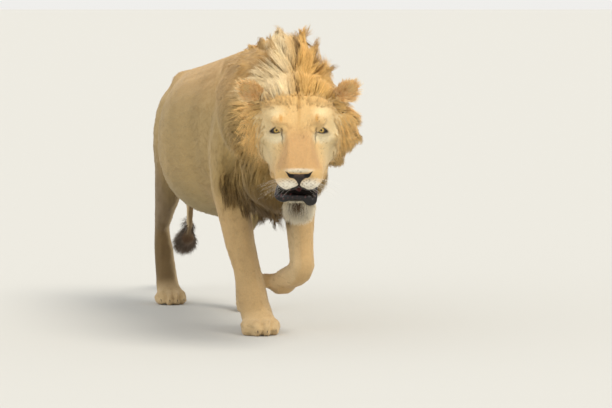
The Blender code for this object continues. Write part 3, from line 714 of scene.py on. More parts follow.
hair_length = hair_length + 0.014 * np.minimum(rim, 1) * is_part("head", "jaw")
hair_length = evened(hair_length, edges, 12)


# ---------------------------------------------------------------- hair
# Every tuft or lock is a closed three-sided spike of its own, wide at the root and fine at the tip.
# Short tufts are straight and lie almost flat; long locks follow a path of several steps.

PATCH = 0.003  # the size of a tuft's own patch on the unwrap of the skin
# Lion hair: coarse and dry, so it has no more than a dull sheen.
hair = hairy("lion_hair", 0.62, 0.010)[0]


def spikes(name, paths, across, above, width, depth_share, colours, roots_at, outline=None):
    """One mesh of closed spikes. paths is count x steps x 3; across and above are unit directions."""
    count, steps = paths.shape[:2]
    outline = np.linspace(1, 0.35, steps - 1) if outline is None else np.array(outline)
    ring = np.array([(-0.5, -0.25), (0.5, -0.25), (0.0, 0.5)])
    ring[:, 1] *= depth_share
    size = width[:, None, None, None] * outline[None, :, None, None]
    rings = (paths[:, :-1, None] + (across[:, :-1, None] * ring[None, None, :, :1]
                                    + above[:, :-1, None] * ring[None, None, :, 1:]) * size)
    corners = np.concatenate([rings.reshape(count, -1, 3), paths[:, -1:]], 1)
    per = corners.shape[1]
    faces = [(0, 2, 1)]
    for j in range(steps - 2):
        for a in range(3):
            b = (a + 1) % 3
            low, high = 3 * j, 3 * j + 3
            faces += [(low + a, low + b, high + b), (low + a, high + b, high + a)]
    last = 3 * (steps - 2)
    faces += [(last + a, last + (a + 1) % 3, per - 1) for a in range(3)]
    strand = np.array(faces)[:, ::-1]
    faces = (strand[None] + per * np.arange(count)[:, None, None]).reshape(-1, 3)
    mesh = mesh_of(name, corners.reshape(-1, 3), faces)
    ring_of = np.append(np.repeat(np.arange(steps - 1), 3), steps - 1)
    share = ring_of / (steps - 1)
    side = np.append(np.tile([-0.5, 0.5, 0.0], steps - 1), 0.0)
    spot = roots_at[:, None] + PATCH * np.stack([side, share - 0.5], 1)[None]
    spot = np.clip(spot.reshape(-1, 2), 0.0005, 0.9995)
    layer = mesh.uv_layers.new(name="OFBake")
    layer.uv.foreach_set("vector", spot[faces.ravel()].astype(np.float32).ravel())
    root, tip = colours
    mixed = root[:, None] + (tip - root)[:, None] * share[None, :, None] ** 0.8
    tint(mesh, np.clip(mixed.reshape(-1, 3), 0, 1))
    mesh.materials.append(hair)
    mesh.shade_smooth()
    # Each strand catches the light like the surface it lies on, above and below.
    underneath = (strand % 3 < 2).all(1) | (strand == 0).any(1) & (strand == 1).any(1)
    underneath |= (strand == last).any(1) & (strand == last + 1).any(1)
    turned = np.where(underneath, -1.0, 1.0)[None, :, None, None]
    corner = ring_of[strand]
    facing = above[:, corner] * turned + across[:, corner] * side[strand][None, :, :, None] * 1.3
    mesh.normals_split_custom_set(unit(facing).reshape(-1, 3))
    made = placed(name, mesh)
    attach(made, "root")
    return made


triangle_points = places[corner_of]
areas = length_of(np.cross(triangle_points[:, 1] - triangle_points[:, 0],
                           triangle_points[:, 2] - triangle_points[:, 0]))[:, 0] / 2


def scattered(density, rng):
    """Random places on the skin: triangle, shares of its three corners. density is per corner."""
    wanted = areas * density[corner_of].mean(1)
    count = rng.poisson(wanted)
    chosen = np.repeat(np.arange(len(areas)), count)
    shares = rng.dirichlet((1, 1, 1), len(chosen))
    return chosen, shares


def at(field, chosen, shares, corners=None):
    """A field of the skin's corners, read at scattered places."""
    values = field[(corner_of if corners is None else corners)[chosen]]
    return (values * (shares[..., None] if values.ndim == 3 else shares)).sum(1)


def map_place(triangles):
    """Where these triangles of the skin lie on its unwrap."""
    return unwrap[loop_of[triangles]].mean(1)


def spun(direction, axis, angle):
    """Directions turned about an axis square to them."""
    return direction * np.cos(angle)[:, None] + np.cross(axis, direction) * np.sin(angle)[:, None]


# No tuft grows under the mane, in the mouth, on an eye or on the nose's leather.
to_cad = length_of(places - on_cad)[:, 0]
hidden = fade(evened(to_cad, edges, 2), 0.012, 0.018)
bare_free = 1 - in_mouth(places, normals)
for centre in eye_centres.values():
    bare_free = bare_free * fade(length_of(places - np.array(centre))[:, 0], 0.021, 0.025)
bare_free = bare_free * (1 - on_nose(face_places, 0.0015))
MOST_TUFTS = 46000
WARMER = np.array([0.05, 0.0, -0.08])  # what one step towards red hair adds to red, green and blue


def short_coat(name, chosen_part, coverage, slimness, lift, rng):
    """Straight tufts over part of the skin; slimness is length over width."""
    cover = evened(chosen_part.astype(float), edges, 1) * (1 - hidden) * bare_free
    density = cover * coverage / (0.5 * hair_length ** 2 / slimness)
    chosen, shares = scattered(density, rng)
    if len(chosen) > MOST_TUFTS:
        keep = rng.permutation(len(chosen))[:MOST_TUFTS]
        chosen, shares = chosen[keep], shares[keep]
    place = at(places, chosen, shares)
    up = unit(at(normals, chosen, shares))
    way = levelled(at(flow, chosen, shares), up)
    way = spun(way, up, 0.12 * ripple(place, 0.09, 11) + rng.normal(0, 0.10, len(place)))
    reach = at(hair_length, chosen, shares) * rng.uniform(0.7, 1.25, len(place))
    rise = lift * rng.uniform(0.6, 1.5, len(place))
    tip = place + way * (reach * np.cos(rise))[:, None] + up * (reach * np.sin(rise))[:, None]
    tip[:, 2] = np.maximum(tip[:, 2], 0.0004)
    base = place - up * (reach * 0.05)[:, None]
    base[:, 2] = np.maximum(base[:, 2], 0.0006)
    across = np.cross(way, up)
    colour = markings(place, up) * rng.uniform(0.93, 1.08, len(place))[:, None]
    colour = colour * (1 + WARMER * rng.normal(0, 0.6, len(place))[:, None])
    return spikes(name, np.stack([base, tip], 1),
                  np.repeat(across[:, None], 2, 1), np.repeat(up[:, None], 2, 1),
                  reach / slimness * rng.uniform(0.8, 1.2, len(place)), 0.35,
                  (colour * 0.97, colour * 1.05), at(unwrap, chosen, shares, loop_of))


left = places[:, 0] > 0
trunk = is_part("belly", "back", "chest", "hindquarters")
for number, (name, part, coverage, slimness, lift) in enumerate((
    ("coat_trunk_left", trunk & left, 0.95, 10.0, 0.08),
    ("coat_trunk_right", trunk & ~left, 0.95, 10.0, 0.08),
    ("coat_forelegs", is_part("upper_arm", "forearm", "forepaw"), 0.42, 8.0, 0.08),
    ("coat_hindlegs", is_part("thigh", "shank", "hindfoot", "tail_"), 0.34, 8.0, 0.08),
    ("coat_face", on_head, 0.90, 6.5, 0.12),
    ("coat_neck", is_part("mane") & (short_mane(places) > 0.1), 1.6, 13.0, 0.16),
)):
    short_coat(name, part, coverage, slimness, lift, np.random.default_rng(21 + number))


# ---------------------------------------------------------------- eyes
# Amber eyes with a small round pupil and a dark ring round the iris, wet and clear in front.
# Each is a ball with the bulge of its cornea, turned to look straight ahead.

# A wet eye: a thin smooth film over the colours, which gives each lamp a small bright glint.
wet_eye, eye_tree, eye_shader = surface("wet_eye", "#9a7b35", 0.16, Coat_Weight=0.35,
                                        Coat_Roughness=0.02, Specular_IOR_Level=0.25)
eye_tint = node(eye_tree, "ShaderNodeVertexColor", layer_name="tint")
eye_tree.links.new(eye_tint.outputs["Color"], eye_shader.inputs["Base Color"])
EYE_RADIUS = 0.0178
PUPIL, IRIS = 0.17, 0.60  # half angles at the middle of the ball


def shaped(name, corners, faces, finish, colours=None):
    """A smooth piece of the animal from its own corners and faces."""
    mesh = mesh_of(name, corners, faces)
    mesh.materials.append(finish)
    mesh.shade_smooth()
    if colours is not None:
        tint(mesh, colours)
    made = placed(name, mesh)
    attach(made, "root")
    return made


def sheet_faces(rows, columns, around=False):
    """Four-sided faces of a grid of rows and columns; around joins the last column to the first."""
    r, c = np.meshgrid(np.arange(rows - 1), np.arange(columns if around else columns - 1), indexing="ij")
    n = (c + 1) % columns
    return np.stack([r * columns + c, r * columns + n, (r + 1) * columns + n,
                     (r + 1) * columns + c], -1).reshape(-1, 4)


def eye_frame(side):
    """Right, gaze and up of the eye, as three rows."""
    gaze = np.array(FACE.to_3x3() @ Vector((0.10 * SIDES[side], -1, 0.06)).normalized())
    right = unit(np.cross(gaze, (0, 0, 1.0)))
    return np.array([right, gaze, np.cross(right, gaze)])


rows, columns = 56, 64
for side in SIDES:
    polar = np.linspace(0.004, math.pi - 0.004, rows)[:, None]
    turn = np.linspace(0, 2 * math.pi, columns, endpoint=False)[None]
    swell = EYE_RADIUS * (1 + 0.055 * np.exp(-(polar / 0.55) ** 4))
    local = np.stack([np.sin(polar) * np.cos(turn), np.cos(polar) + 0 * turn,
                      np.sin(polar) * np.sin(turn)], -1) * swell[..., None]
    corners = local.reshape(-1, 3) @ eye_frame(side) + np.array(eye_centres[side])
    angle = np.repeat(polar[:, 0], columns)
    spoke = np.tile(np.sin(turn[0] * 23) * 0.5 + np.sin(turn[0] * 41 + 1) * 0.5, rows)
    colour = painted(
        plain("#b3924a", len(angle)),
        ("#7d6229", fade(angle, 0.30, 0.52)),
        ("#d8c27c", (spoke > 0.35) * fade(-angle, -0.5, -0.3) * 0.5),
        ("#20150d", fade(angle, IRIS - 0.09, IRIS)),
        ("#1c110c", fade(angle, IRIS + 0.05, IRIS + 0.3)),
        ("#050404", fade(-angle, -PUPIL - 0.02, -PUPIL + 0.01)),
    )
    ball_piece = shaped("eyeball_" + side, corners, sheet_faces(rows, columns, True)[:, ::-1],
                        wet_eye, colour)
    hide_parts("eye_" + side)


# ---------------------------------------------------------------- lids
# Dark bare rims close on each ball, running out into the short coat of the face.
# The opening is an almond with its inner corner low, where the tear line starts.

skin_tree = tree_of(places, corner_of)
LID_HALF, LID_TOP, LID_LOW, LID_SLANT = 0.0172, 0.0074, 0.0070, 0.0028
LID_CORNERS, LID_HAIRS = 72, 900
# Bare lid skin is moist, so it shines a little more than the hide around it.
lid_skin = hairy("lid_skin", 0.45, 0.004)[0]


def cast(points, way, tree, spare):
    """Where rays from these points meet the surface; spare is used where they miss."""
    out = np.array(spare, float)
    for i, point in enumerate(points):
        hit = tree.ray_cast(Vector(point), Vector(way))
        if hit[0] is not None:
            out[i] = hit[0]
    return out


for side, out in SIDES.items():
    right, gaze, up = eye_frame(side)
    centre = np.array(eye_centres[side])
    turn = np.linspace(0, 2 * math.pi, LID_CORNERS, endpoint=False)
    high = np.where(np.sin(turn) > 0, LID_TOP, LID_LOW)
    u = np.cos(turn) * LID_HALF
    v = np.sin(turn) * np.abs(np.sin(turn)) ** 0.15 * high + np.cos(turn) * LID_SLANT
    rings = []
    for grow, ahead in ((0.97, -0.0008), (1.0, 0.0010), (1.10, 0.0024), (1.28, 0.0026)):
        flat = np.minimum((u * grow) ** 2 + (v * grow) ** 2, (EYE_RADIUS * 0.985) ** 2)
        deep = np.sqrt(EYE_RADIUS ** 2 - flat) + ahead
        deep = np.maximum(deep, EYE_RADIUS * 0.42)
        rings.append(centre + right * (u * grow * out)[:, None] + up * (v * grow)[:, None]
                     + gaze * deep[:, None])
    outer = []
    for grow, lift in ((2.0, 0.0008), (2.7, -0.0012)):
        flat = centre + right * (u * grow * out)[:, None] + up * (v * grow * 1.15)[:, None]
        hit = cast(flat + gaze * 0.05, -gaze, skin_tree, flat + gaze * 0.010)
        outer.append(hit + gaze * lift)
    rings += [rings[-1] * 0.45 + outer[0] * 0.55 + gaze * 0.0008] + outer
    corners = np.concatenate(rings)
    faces = sheet_faces(len(rings), len(turn), True)
    if out < 0:
        faces = faces[:, ::-1]
    ring = np.repeat(np.arange(len(rings)), len(turn))
    colour = painted(markings(corners, np.tile(gaze, (len(corners), 1))),
                     ("#191009", (ring < 3).astype(float)), ("#3b2a1c", (ring == 3) * 0.85))
    shaped("lids_" + side, corners, faces, lid_skin, colour)
    # Short hairs stand over the outer part of the lids.
    rng = np.random.default_rng(60 + out)
    where = rng.uniform(0, 2 * math.pi, LID_HAIRS) / (2 * math.pi) * len(turn)
    first = where.astype(int) % len(turn)
    grid = rng.uniform(0, 1, LID_HAIRS) ** 0.8 * 2.99
    stack = np.stack(rings[3:7], 0)
    row = grid.astype(int)
    rest = (grid - row)[:, None]
    place = stack[row, first] * (1 - rest) + stack[row + 1, first] * rest
    way = unit(stack[3, first] - stack[0, first] + np.array([0, 0, 0.004]))
    lift = np.tile(gaze, (LID_HAIRS, 1))
    reach = rng.uniform(0.0035, 0.006, LID_HAIRS)
    tip = place + way * reach[:, None] + lift * 0.0012
    side_way = unit(np.cross(way, lift))
    shade = markings(place, lift)
    spikes("lid_hair_" + side, np.stack([place - lift * 0.0005, tip], 1),
           np.repeat(side_way[:, None], 2, 1), np.repeat(lift[:, None], 2, 1),
           reach / 6, 0.5, (shade * 0.9, shade * 1.05), map_place(nearest(skin_tree, place)[2]))


# ---------------------------------------------------------------- nose leather
# Bare, finely cobbled, dark brown skin that caps the muzzle, with two comma-shaped nostrils.
# It narrows to a point below, where the groove of the upper lip starts.

# Nose leather: thick bare skin, moist but not wet, with cobbles a millimetre or two across.
leather, leather_tree, leather_shader = surface("nose_leather", "#2d211e", 0.55, Coat_Weight=0.08,
                                                Coat_Roughness=0.3, Specular_IOR_Level=0.3)


def relief(tree, shader, texture, height, size, depth, strength, **values):
    """Raises a pattern of this size and depth, both in metres, all over a surface."""
    where = node(tree, "ShaderNodeTexCoord")
    pattern = node(tree, texture, {"Scale": 1 / size, **values}, {"Vector": where.outputs["Object"]})
    bump = node(tree, "ShaderNodeBump", {"Strength": strength, "Distance": depth},
                {"Height": pattern.outputs[height]})
    tree.links.new(bump.outputs["Normal"], shader.inputs["Normal"])


nose_tint = node(leather_tree, "ShaderNodeVertexColor", layer_name="tint")
leather_tree.links.new(nose_tint.outputs["Color"], leather_shader.inputs["Base Color"])
relief(leather_tree, leather_shader, "ShaderNodeTexVoronoi", "Distance",
       size=0.0016, depth=0.0006, strength=0.55)
rows, columns = 36, 121
s = np.linspace(-1, 1, columns)[None] * np.ones((rows, 1))
t = np.linspace(0, 1, rows)[:, None] * np.ones((1, columns))
x = s * NOSE_HALF
aside = np.abs(x)
z = nose_top(aside) - nose_height(aside) * t
flat = np.stack([x, np.full_like(x, -0.10), z], -1).reshape(-1, 3)
hit = cast(put_back(FACE, flat), -AHEAD, skin_tree, put_back(FACE, flat + np.array([0, 0.12, 0])))
NOSE_BACK = 0.034
nose_faces = sheet_faces(rows, columns)
y = evened(np.minimum(seen_from(FACE, hit)[:, 1], NOSE_BACK),
           np.concatenate([nose_faces[:, :2], nose_faces[:, 1:3]]), 4)
edge = np.minimum(np.minimum(t, 1 - t) * 5, (1 - np.abs(s)) * 7).clip(0, 1).ravel()
proud = 0.0042 * np.sqrt(1 - (1 - edge) ** 2) - 0.0016
NOSTRIL_ASIDE = 0.0250
slant = nose_top(aside) - 0.0066 - 0.10 * (aside - NOSTRIL_ASIDE)
away = ((aside - NOSTRIL_ASIDE) / 0.0120) ** 2 + ((z - slant) / 0.0042) ** 2
nostril = np.exp(-away).ravel()
crease = np.exp(-(x / 0.0012) ** 2).ravel()
y = y - proud + 0.0012 * nostril + 0.0008 * crease
corners = put_back(FACE, np.stack([x.ravel(), y, z.ravel()], 1))
# A painted highlight lightens the upper middle of the leather.
nose_highlight = fade(z.ravel(), -0.004, 0.010) * fade(-aside.ravel(), -0.022, -0.012)
# The nostrils are painted black: painted shade standing in for the depth of their openings.
colour = painted(plain("#241a17", len(corners)),
                 ("#5a463a", nose_highlight * 0.7), ("#040303", fade(nostril, 0.30, 0.60)))
nose = shaped("nose_leather", corners, nose_faces, leather, colour)
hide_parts("nose")


# ---------------------------------------------------------------- lips, tongue and mouth
# Black wet lips: a thin rim under each whisker pad, and a heavy lower lip that sags at both corners.
# They are soft tubes laid along the mouth's edge.

# Wet lip: smooth black skin with a film of spit, wrinkled every few millimetres.
wet_lip, lip_tree, lip_shader = surface("wet_lip", "#17120f", 0.30, Coat_Weight=0.30, Coat_Roughness=0.10,
                                        Specular_IOR_Level=0.30)
lip_tint = node(lip_tree, "ShaderNodeVertexColor", layer_name="tint")
lip_tree.links.new(lip_tint.outputs["Color"], lip_shader.inputs["Base Color"])
relief(lip_tree, lip_shader, "ShaderNodeTexNoise", "Fac", size=0.006, depth=0.0016, strength=0.5,
       Detail=3.0)
LIP_STEPS = 90


def lip(name, course, sides):
    """A soft tube along this course: places in the level face frame, half heights and half depths."""
    points, wide, deep = (np.array([stop[k] for stop in course], float) for k in range(3))
    spread_at = np.linspace(0, len(course) - 1, LIP_STEPS)
    stops = np.arange(len(course))
    line = np.stack([np.interp(spread_at, stops, points[:, k]) for k in range(3)], 1)
    wide = np.interp(spread_at, stops, wide)
    deep = np.interp(spread_at, stops, deep)
    chain = np.stack([np.arange(LIP_STEPS - 1), np.arange(1, LIP_STEPS)], 1)
    pinned = np.ones(LIP_STEPS)
    pinned[[0, -1]] = 0
    line = evened(line, chain, 10, 0.5 * pinned)
    wide = evened(wide, chain, 6, 0.5 * pinned)
    tangent = unit(np.gradient(line, axis=0))
    over = unit(np.cross(tangent, np.tile([0.0, 1.0, 0.0], (LIP_STEPS, 1))))
    view = np.cross(over, tangent)
    turn = np.linspace(0, 2 * math.pi, sides, endpoint=False)
    ends = np.sin(np.linspace(0, math.pi, LIP_STEPS)) ** 0.35
    ring = (over[:, None] * (np.cos(turn)[None, :, None] * (wide * ends)[:, None, None])
            + view[:, None] * (np.sin(turn)[None, :, None] * (deep * ends)[:, None, None]))
    corners = put_back(FACE, (line[:, None] + ring).reshape(-1, 3))
    # Pink flecks on the black lips are painted glints of their wet surface.
    colour = painted(plain("#0f0b0a", len(corners)),
                     ("#7d4e4c", fade(ripple(corners, 0.012, 71), 0.86, 1.0) * 0.5))
    shaped(name, corners, sheet_faces(LIP_STEPS, sides, True), wet_lip, colour)


UPPER_LIP = (
    ((-0.051, 0.142, 0.006), 0.004, 0.004), ((-0.056, 0.120, 0.004), 0.006, 0.005),
    ((-0.059, 0.096, -0.006), 0.007, 0.006), ((-0.057, 0.075, -0.018), 0.007, 0.006),
    ((-0.051, 0.056, -0.031), 0.006, 0.005), ((-0.040, 0.043, -0.040), 0.004, 0.004),
    ((-0.020, 0.034, -0.040), 0.003, 0.004), ((0.000, 0.036, -0.028), 0.003, 0.004),
    ((0.018, 0.034, -0.040), 0.003, 0.004), ((0.038, 0.043, -0.041), 0.004, 0.004),
    ((0.050, 0.056, -0.032), 0.006, 0.005), ((0.056, 0.075, -0.019), 0.007, 0.006),
    ((0.058, 0.096, -0.007), 0.007, 0.006), ((0.055, 0.120, 0.003), 0.006, 0.005),
    ((0.050, 0.142, 0.005), 0.004, 0.004),
)
LOWER_LIP = (
    ((-0.056, 0.124, -0.018), 0.010, 0.006), ((-0.060, 0.117, -0.041), 0.016, 0.008),
    ((-0.064, 0.110, -0.064), 0.016, 0.009), ((-0.048, 0.106, -0.072), 0.015, 0.009),
    ((-0.026, 0.100, -0.066), 0.011, 0.008), ((0.000, 0.097, -0.066), 0.010, 0.008),
    ((0.018, 0.099, -0.069), 0.012, 0.008), ((0.033, 0.102, -0.080), 0.017, 0.009),
    ((0.043, 0.108, -0.080), 0.017, 0.008), ((0.051, 0.114, -0.058), 0.011, 0.007),
    ((0.056, 0.122, -0.032), 0.005, 0.004),
)
lip("upper_lip", UPPER_LIP, 14)
lip("lower_lip", LOWER_LIP, 18)

# The tongue is seen only as a dark pink edge between the lips, moist and rough with small buds.
wet_tongue, tongue_tree, tongue_shader = surface("wet_tongue", "#5e302b", 0.35, Coat_Weight=0.2)
relief(tongue_tree, tongue_shader, "ShaderNodeTexVoronoi", "Distance",
       size=0.0022, depth=0.0008, strength=0.5)
TONGUE_VOXEL = 0.0032
tongue_mesh = remeshed("tongue_form", *welded(["tongue"])[:2], TONGUE_VOXEL)
tongue_points = evened(read(tongue_mesh.vertices, "co", 3),
                       read(tongue_mesh.edges, "vertices", 2, np.int32), 8)
tongue_mesh.vertices.foreach_set("co", tongue_points.ravel())
tongue_mesh.materials.append(wet_tongue)
tongue_mesh.shade_smooth()
tongue = placed("tongue_surface", tongue_mesh)
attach(tongue, "root")
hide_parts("tongue")


# ---------------------------------------------------------------- mane
# The mane's outer form is one closed surface around the solids, and its locks lie on and under it.
# A few thousand leading locks are grown over that form, and the rest gather round each of them.

FORM_VOXEL = 0.010
form = remeshed("form", *welded([n for n in ALL_NODES if not n.startswith("eye")], OVERLAP)[:2], FORM_VOXEL)
form_places = read(form.vertices, "co", 3)
form_edges = read(form.edges, "vertices", 2, np.int32)
form_places = rounded(form_places, form_edges, 4, np.ones(len(form_places)))
form.calc_loop_triangles()
form_faces = read(form.loop_triangles, "vertices", 3, np.int32)
form_tree = tree_of(form_places, form_faces)
middles = form_places[form_faces].mean(1)
middle_node = cad_owner[nearest(cad_tree, middles)[2]]

# How hair runs at some places of the mane: place and way, in the level frame of the face.
# The lion's right side is the mirror of its left.
RUNS = [
    ((0.00, 0.24, 0.27), (0.0, 0.20, 1.0)),      # over the brow
    ((0.05, 0.26, 0.28), (0.75, 0.35, 0.55)),    # from the parting to the ears
    ((0.09, 0.28, 0.26), (0.90, 0.40, 0.05)),    # above the ears
    ((0.00, 0.36, 0.38), (0.0, 0.25, 1.0)),      # tip of the crest
    ((0.05, 0.34, 0.34), (0.50, 0.35, 0.65)),    # side of the crest
    ((0.11, 0.38, 0.27), (0.55, 0.60, -0.30)),   # its foot
    ((0.00, 0.46, 0.38), (0.0, 0.75, 0.6)),      # back of the crest
    ((0.06, 0.52, 0.34), (0.25, 0.95, -0.1)),    # below it
    ((0.00, 0.68, 0.36), (0.0, 0.95, 0.15)),     # down to the withers
    ((0.12, 0.28, 0.20), (0.55, 0.60, 0.0)),     # behind the ear
    ((0.14, 0.48, 0.24), (0.10, 0.85, -0.40)),   # upper neck
    ((0.14, 0.18, 0.10), (0.32, 0.45, -0.85)),   # ruff, high
    ((0.13, 0.14, 0.00), (0.12, 0.30, -0.95)),   # ruff, at the cheek
    ((0.10, 0.15, -0.08), (0.05, 0.20, -1.0)),   # ruff, under the jaw
    ((0.00, 0.22, -0.12), (0.0, 0.30, -1.0)),    # throat
    ((0.15, 0.45, 0.08), (0.05, 0.55, -0.85)),   # side of the neck
    ((0.14, 0.60, -0.02), (0.0, 0.45, -0.9)),    # above the shoulder
    ((0.00, 0.45, -0.15), (0.0, 0.25, -1.0)),    # breast
]
left_half = np.array(RUNS)
run_places, run_ways = np.concatenate([left_half, left_half * (-1, 1, 1)]).transpose(1, 0, 2)
run_places[:, 0] += neck_middle(run_places[:, 1])
run_ways = unit(run_ways)


def run_of_hair(points):
    """The way the mane's hair runs at each place."""
    local = seen_from(FACE, points)
    gap = length_of(local[:, None] - run_places[None])[..., 0]
    weight = 1 / (gap + 0.02) ** 4
    way = (weight[..., None] * run_ways[None]).sum(1)
    return unit(way @ FACE_WAYS.T)


def mane_colour(points):
    """Pale gold in the crest, gold in the ruff, olive on the neck's sides, dark brown on the breast, with
    painted shade under the head.
    """
    face = seen_from(FACE, points)
    x, y, z = face.T
    ruff = fade(-y, -0.36, -0.22) * fade(-np.abs(x), -0.215, -0.185)
    crest = fade(z, 0.20, 0.27)
    parting = patch(face, (-0.004, 0.36, 0.40), (0.008, 0.2, 0.07))
    back = short_mane(points)
    under = fade(y, 0.18, 0.26) * fade(-z, -0.06, 0.04) * fade(-y, -0.36, -0.28)
    colour = painted(
        plain("#a88a50", len(points)),
        ("#ecc27a", ruff),
        ("#e0b366", crest),
        ("#f2dcae", crest * fade(-x, -0.01, 0.06) * fade(-y, -0.54, -0.40)),
        ("#7a5b33", crest * parting * 0.8),
        ("#b09058", back),
        ("#c09a62", back * fade(z, 0.20, 0.32)),
        # Below the jaw and down the breast the mane is darker: partly its own darker hair, partly painted
        # shade under the head.
        ("#7a6032", fade(-z, 0.00, 0.10) * fade(y, 0.16, 0.30)),
        ("#5c4624", fade(-z, 0.06, 0.16) * fade(y, 0.24, 0.38) * 0.85),
        ("#8f7340", under * 0.6),
    )
    return colour * (1 + 0.10 * ripple(points, 0.05, 31) + 0.06 * ripple(points, 0.02, 32))[:, None]


def locks(name, sites, guides, members, length, width, reach_in, spread, paint, rng,
          node_name=None, lock_steps=4):
    """Hair that gathers in locks, rooted on the skin under these triangles of the mane's form."""
    spots = form_places[form_faces[sites]]
    size = length_of(np.cross(spots[:, 1] - spots[:, 0], spots[:, 2] - spots[:, 0]))[:, 0]
    chosen = rng.choice(len(sites), guides, p=size / size.sum())
    shares = rng.dirichlet((1, 1, 1), guides)[..., None]
    point = (spots[chosen] * shares).sum(1)
    reach = length(point) if callable(length) else np.full(guides, length)
    sunk = reach_in * rng.uniform(0, 1, guides) ** 1.6
    spot, normal, _ = nearest(form_tree, point)
    point = spot - normal * sunk[:, None]
    stride = reach * rng.uniform(0.7, 1.2, guides) / (lock_steps - 1)
    way = run_of_hair(point)
    way = unit(way - normal * (way * normal).sum(1, keepdims=True) * 0.8
               + rng.normal(0, 0.13, way.shape))
    lift = np.minimum(reach, 0.06)[:, None]
    root, _, root_face = nearest(skin_tree, point - way * lift * 0.4 - normal * lift * 0.5)
    trail, ups = [root, point], [normal, normal]
    outside = np.zeros(guides)
    for _ in range(lock_steps - 1):
        wanted = run_of_hair(point)
        cling = 0.85 * fade(-outside, -0.012, 0.0)[:, None]
        wanted = wanted - normal * (wanted * normal).sum(1, keepdims=True) * cling
        way = unit(way * 0.9 + wanted * 0.7 + rng.normal(0, 0.05, way.shape))
        step = stride * np.where(outside > 0.006, 0.4, 1.0)
        point = point + way * step[:, None]
        spot, normal, _ = nearest(form_tree, point)
        outside = ((point - spot) * normal).sum(1)
        back = np.clip(outside + sunk, -0.02, 0.03) * 0.5
        point = point - normal * back[:, None]
        outside = outside - back
        point[:, 2] = np.minimum(point[:, 2], cad_box[1].z + 0.015)
        trail.append(point)
        ups.append(normal)
    trail, ups = np.stack(trail, 1), unit(np.stack(ups, 1))
    along = unit(np.gradient(trail, axis=1))
    across = unit(np.cross(along, ups))
    ups = np.cross(across, along)
    # The members of each lock draw together towards its tip.
    steps = trail.shape[1]
    total = guides * members
    lead = np.repeat(np.arange(guides), members)
    angle = rng.uniform(0, 2 * math.pi, total)
    wide = (spread * np.clip(reach / 0.1, 0.4, 1))[lead]
    radius = wide * np.sqrt(rng.uniform(0, 1, total))
    gather = np.linspace(1, 0.42, steps) ** 0.8
    gather = gather[None] * (1 + rng.normal(0, 0.08, (total, 1)))
    wave = rng.normal(0, 0.18, (total, steps, 2)).cumsum(1) * np.linspace(0, 1, steps)[None, :, None]
    wave = wave * wide[:, None, None]
    a = (np.cos(angle) * radius)[:, None] * gather + wave[..., 0]
    b = (np.sin(angle) * radius)[:, None] * 0.7 * gather + wave[..., 1] * 0.6
    paths = trail[lead] + across[lead] * a[..., None] + ups[lead] * b[..., None]
    short = rng.uniform(0.72, 1.0, total)
    fraction = np.arange(steps)[None] * short[:, None]
    first = np.minimum(fraction.astype(int), steps - 2)
    rest = (fraction - first)[..., None]
    rows = np.arange(total)[:, None]
    paths = paths[rows, first] * (1 - rest) + paths[rows, first + 1] * rest
    paths[..., 2] = np.maximum(paths[..., 2], 0.003)
    colour = paint(paths[:, 2])
    gain = rng.uniform(0.88, 1.10, guides)[lead] * rng.uniform(0.92, 1.08, total)
    colour = colour * gain[:, None]
    spot_uv = map_place(root_face)[lead] + rng.normal(0, 0.002, (total, 2))
    made = spikes(name, paths, across[lead], ups[lead], width * rng.uniform(0.7, 1.3, total), 0.40,
                  (colour * 0.80, colour * 1.08), spot_uv,
                  np.interp(np.linspace(0, 1, steps - 1), [0, 0.2, 0.6, 1], [0.3, 1.0, 0.85, 0.45]))
    if node_name:
        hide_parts(node_name)


def grown_from(*names):
    """True for each triangle of the form that lies on one of these solids."""
    return np.isin(middle_node, [ALL_NODES.index(n) for n in names])


def mane_length(longest):
    """How long the locks grow from each place: shorter high on the neck and towards the withers."""
    def reach(points):
        rear = fade(seen_from(FACE, points)[:, 1], 0.50, 0.75)
        return (longest + (0.040 - longest) * short_mane(points)) * (1 - 0.5 * rear)
    return reach


for number, (node_name, guides, members, longest, width) in enumerate((
    ("mane_crest", 780, 11, 0.110, 0.0013),
    ("mane_neck", 460, 11, 0.115, 0.0015),
    ("mane_breast", 420, 11, 0.125, 0.0017),
    ("mane_ruff_left", 480, 11, 0.085, 0.0013),
    ("mane_ruff_right", 480, 11, 0.085, 0.0013),
)):
    sites = np.flatnonzero(grown_from(node_name) & (short_mane(middles) < 0.75))
    locks("hair_" + node_name[5:], sites, guides, members, mane_length(longest), width, reach_in=0.020,
          spread=0.010, paint=mane_colour, rng=np.random.default_rng(41 + number), node_name=node_name)

# Between face and ruff the hair lengthens from a finger's breadth to a hand's.
beside = seen_from(FACE, middles)
to_mane = length_of(nearest(tree_of(*welded(MANE_NODES)[:2]), middles)[0] - middles)[:, 0]
face_edge = 0.122 - 0.040 * fade(-beside[:, 2], -0.08, 0.04)
ragged = np.random.default_rng(50).uniform(-0.014, 0.006, len(middles))
fringe = np.flatnonzero(grown_from("head", "jaw")
                        & ((np.abs(beside[:, 0]) > face_edge + ragged)
                           | ((to_mane < 0.040) & (beside[:, 2] > 0.222 + 2.2 * ragged)))
                        & (beside[:, 1] > 0.09))


def fringe_length(points):
    """Short beside the eyes and over the brow, long at the cheeks."""
    local = seen_from(FACE, points)
    return 0.018 + 0.050 * fade(np.abs(local[:, 0]), 0.11, 0.15) * fade(-local[:, 2], -0.24, -0.12)


def fringe_colour(points):
    """The colours of the face where the fringe starts, and those of the mane where it ends."""
    local = seen_from(FACE, points)
    share = np.maximum(fade(np.abs(local[:, 0]), 0.100, 0.140), fade(local[:, 2], 0.235, 0.275))[:, None]
    facing = np.tile(AHEAD, (len(points), 1))
    return markings(points, facing) * (1 - share) + mane_colour(points) * share


locks("hair_fringe", fringe, 860, 9, fringe_length, width=0.0010, reach_in=0.003, spread=0.008,
      paint=fringe_colour, rng=np.random.default_rng(51), lock_steps=3)

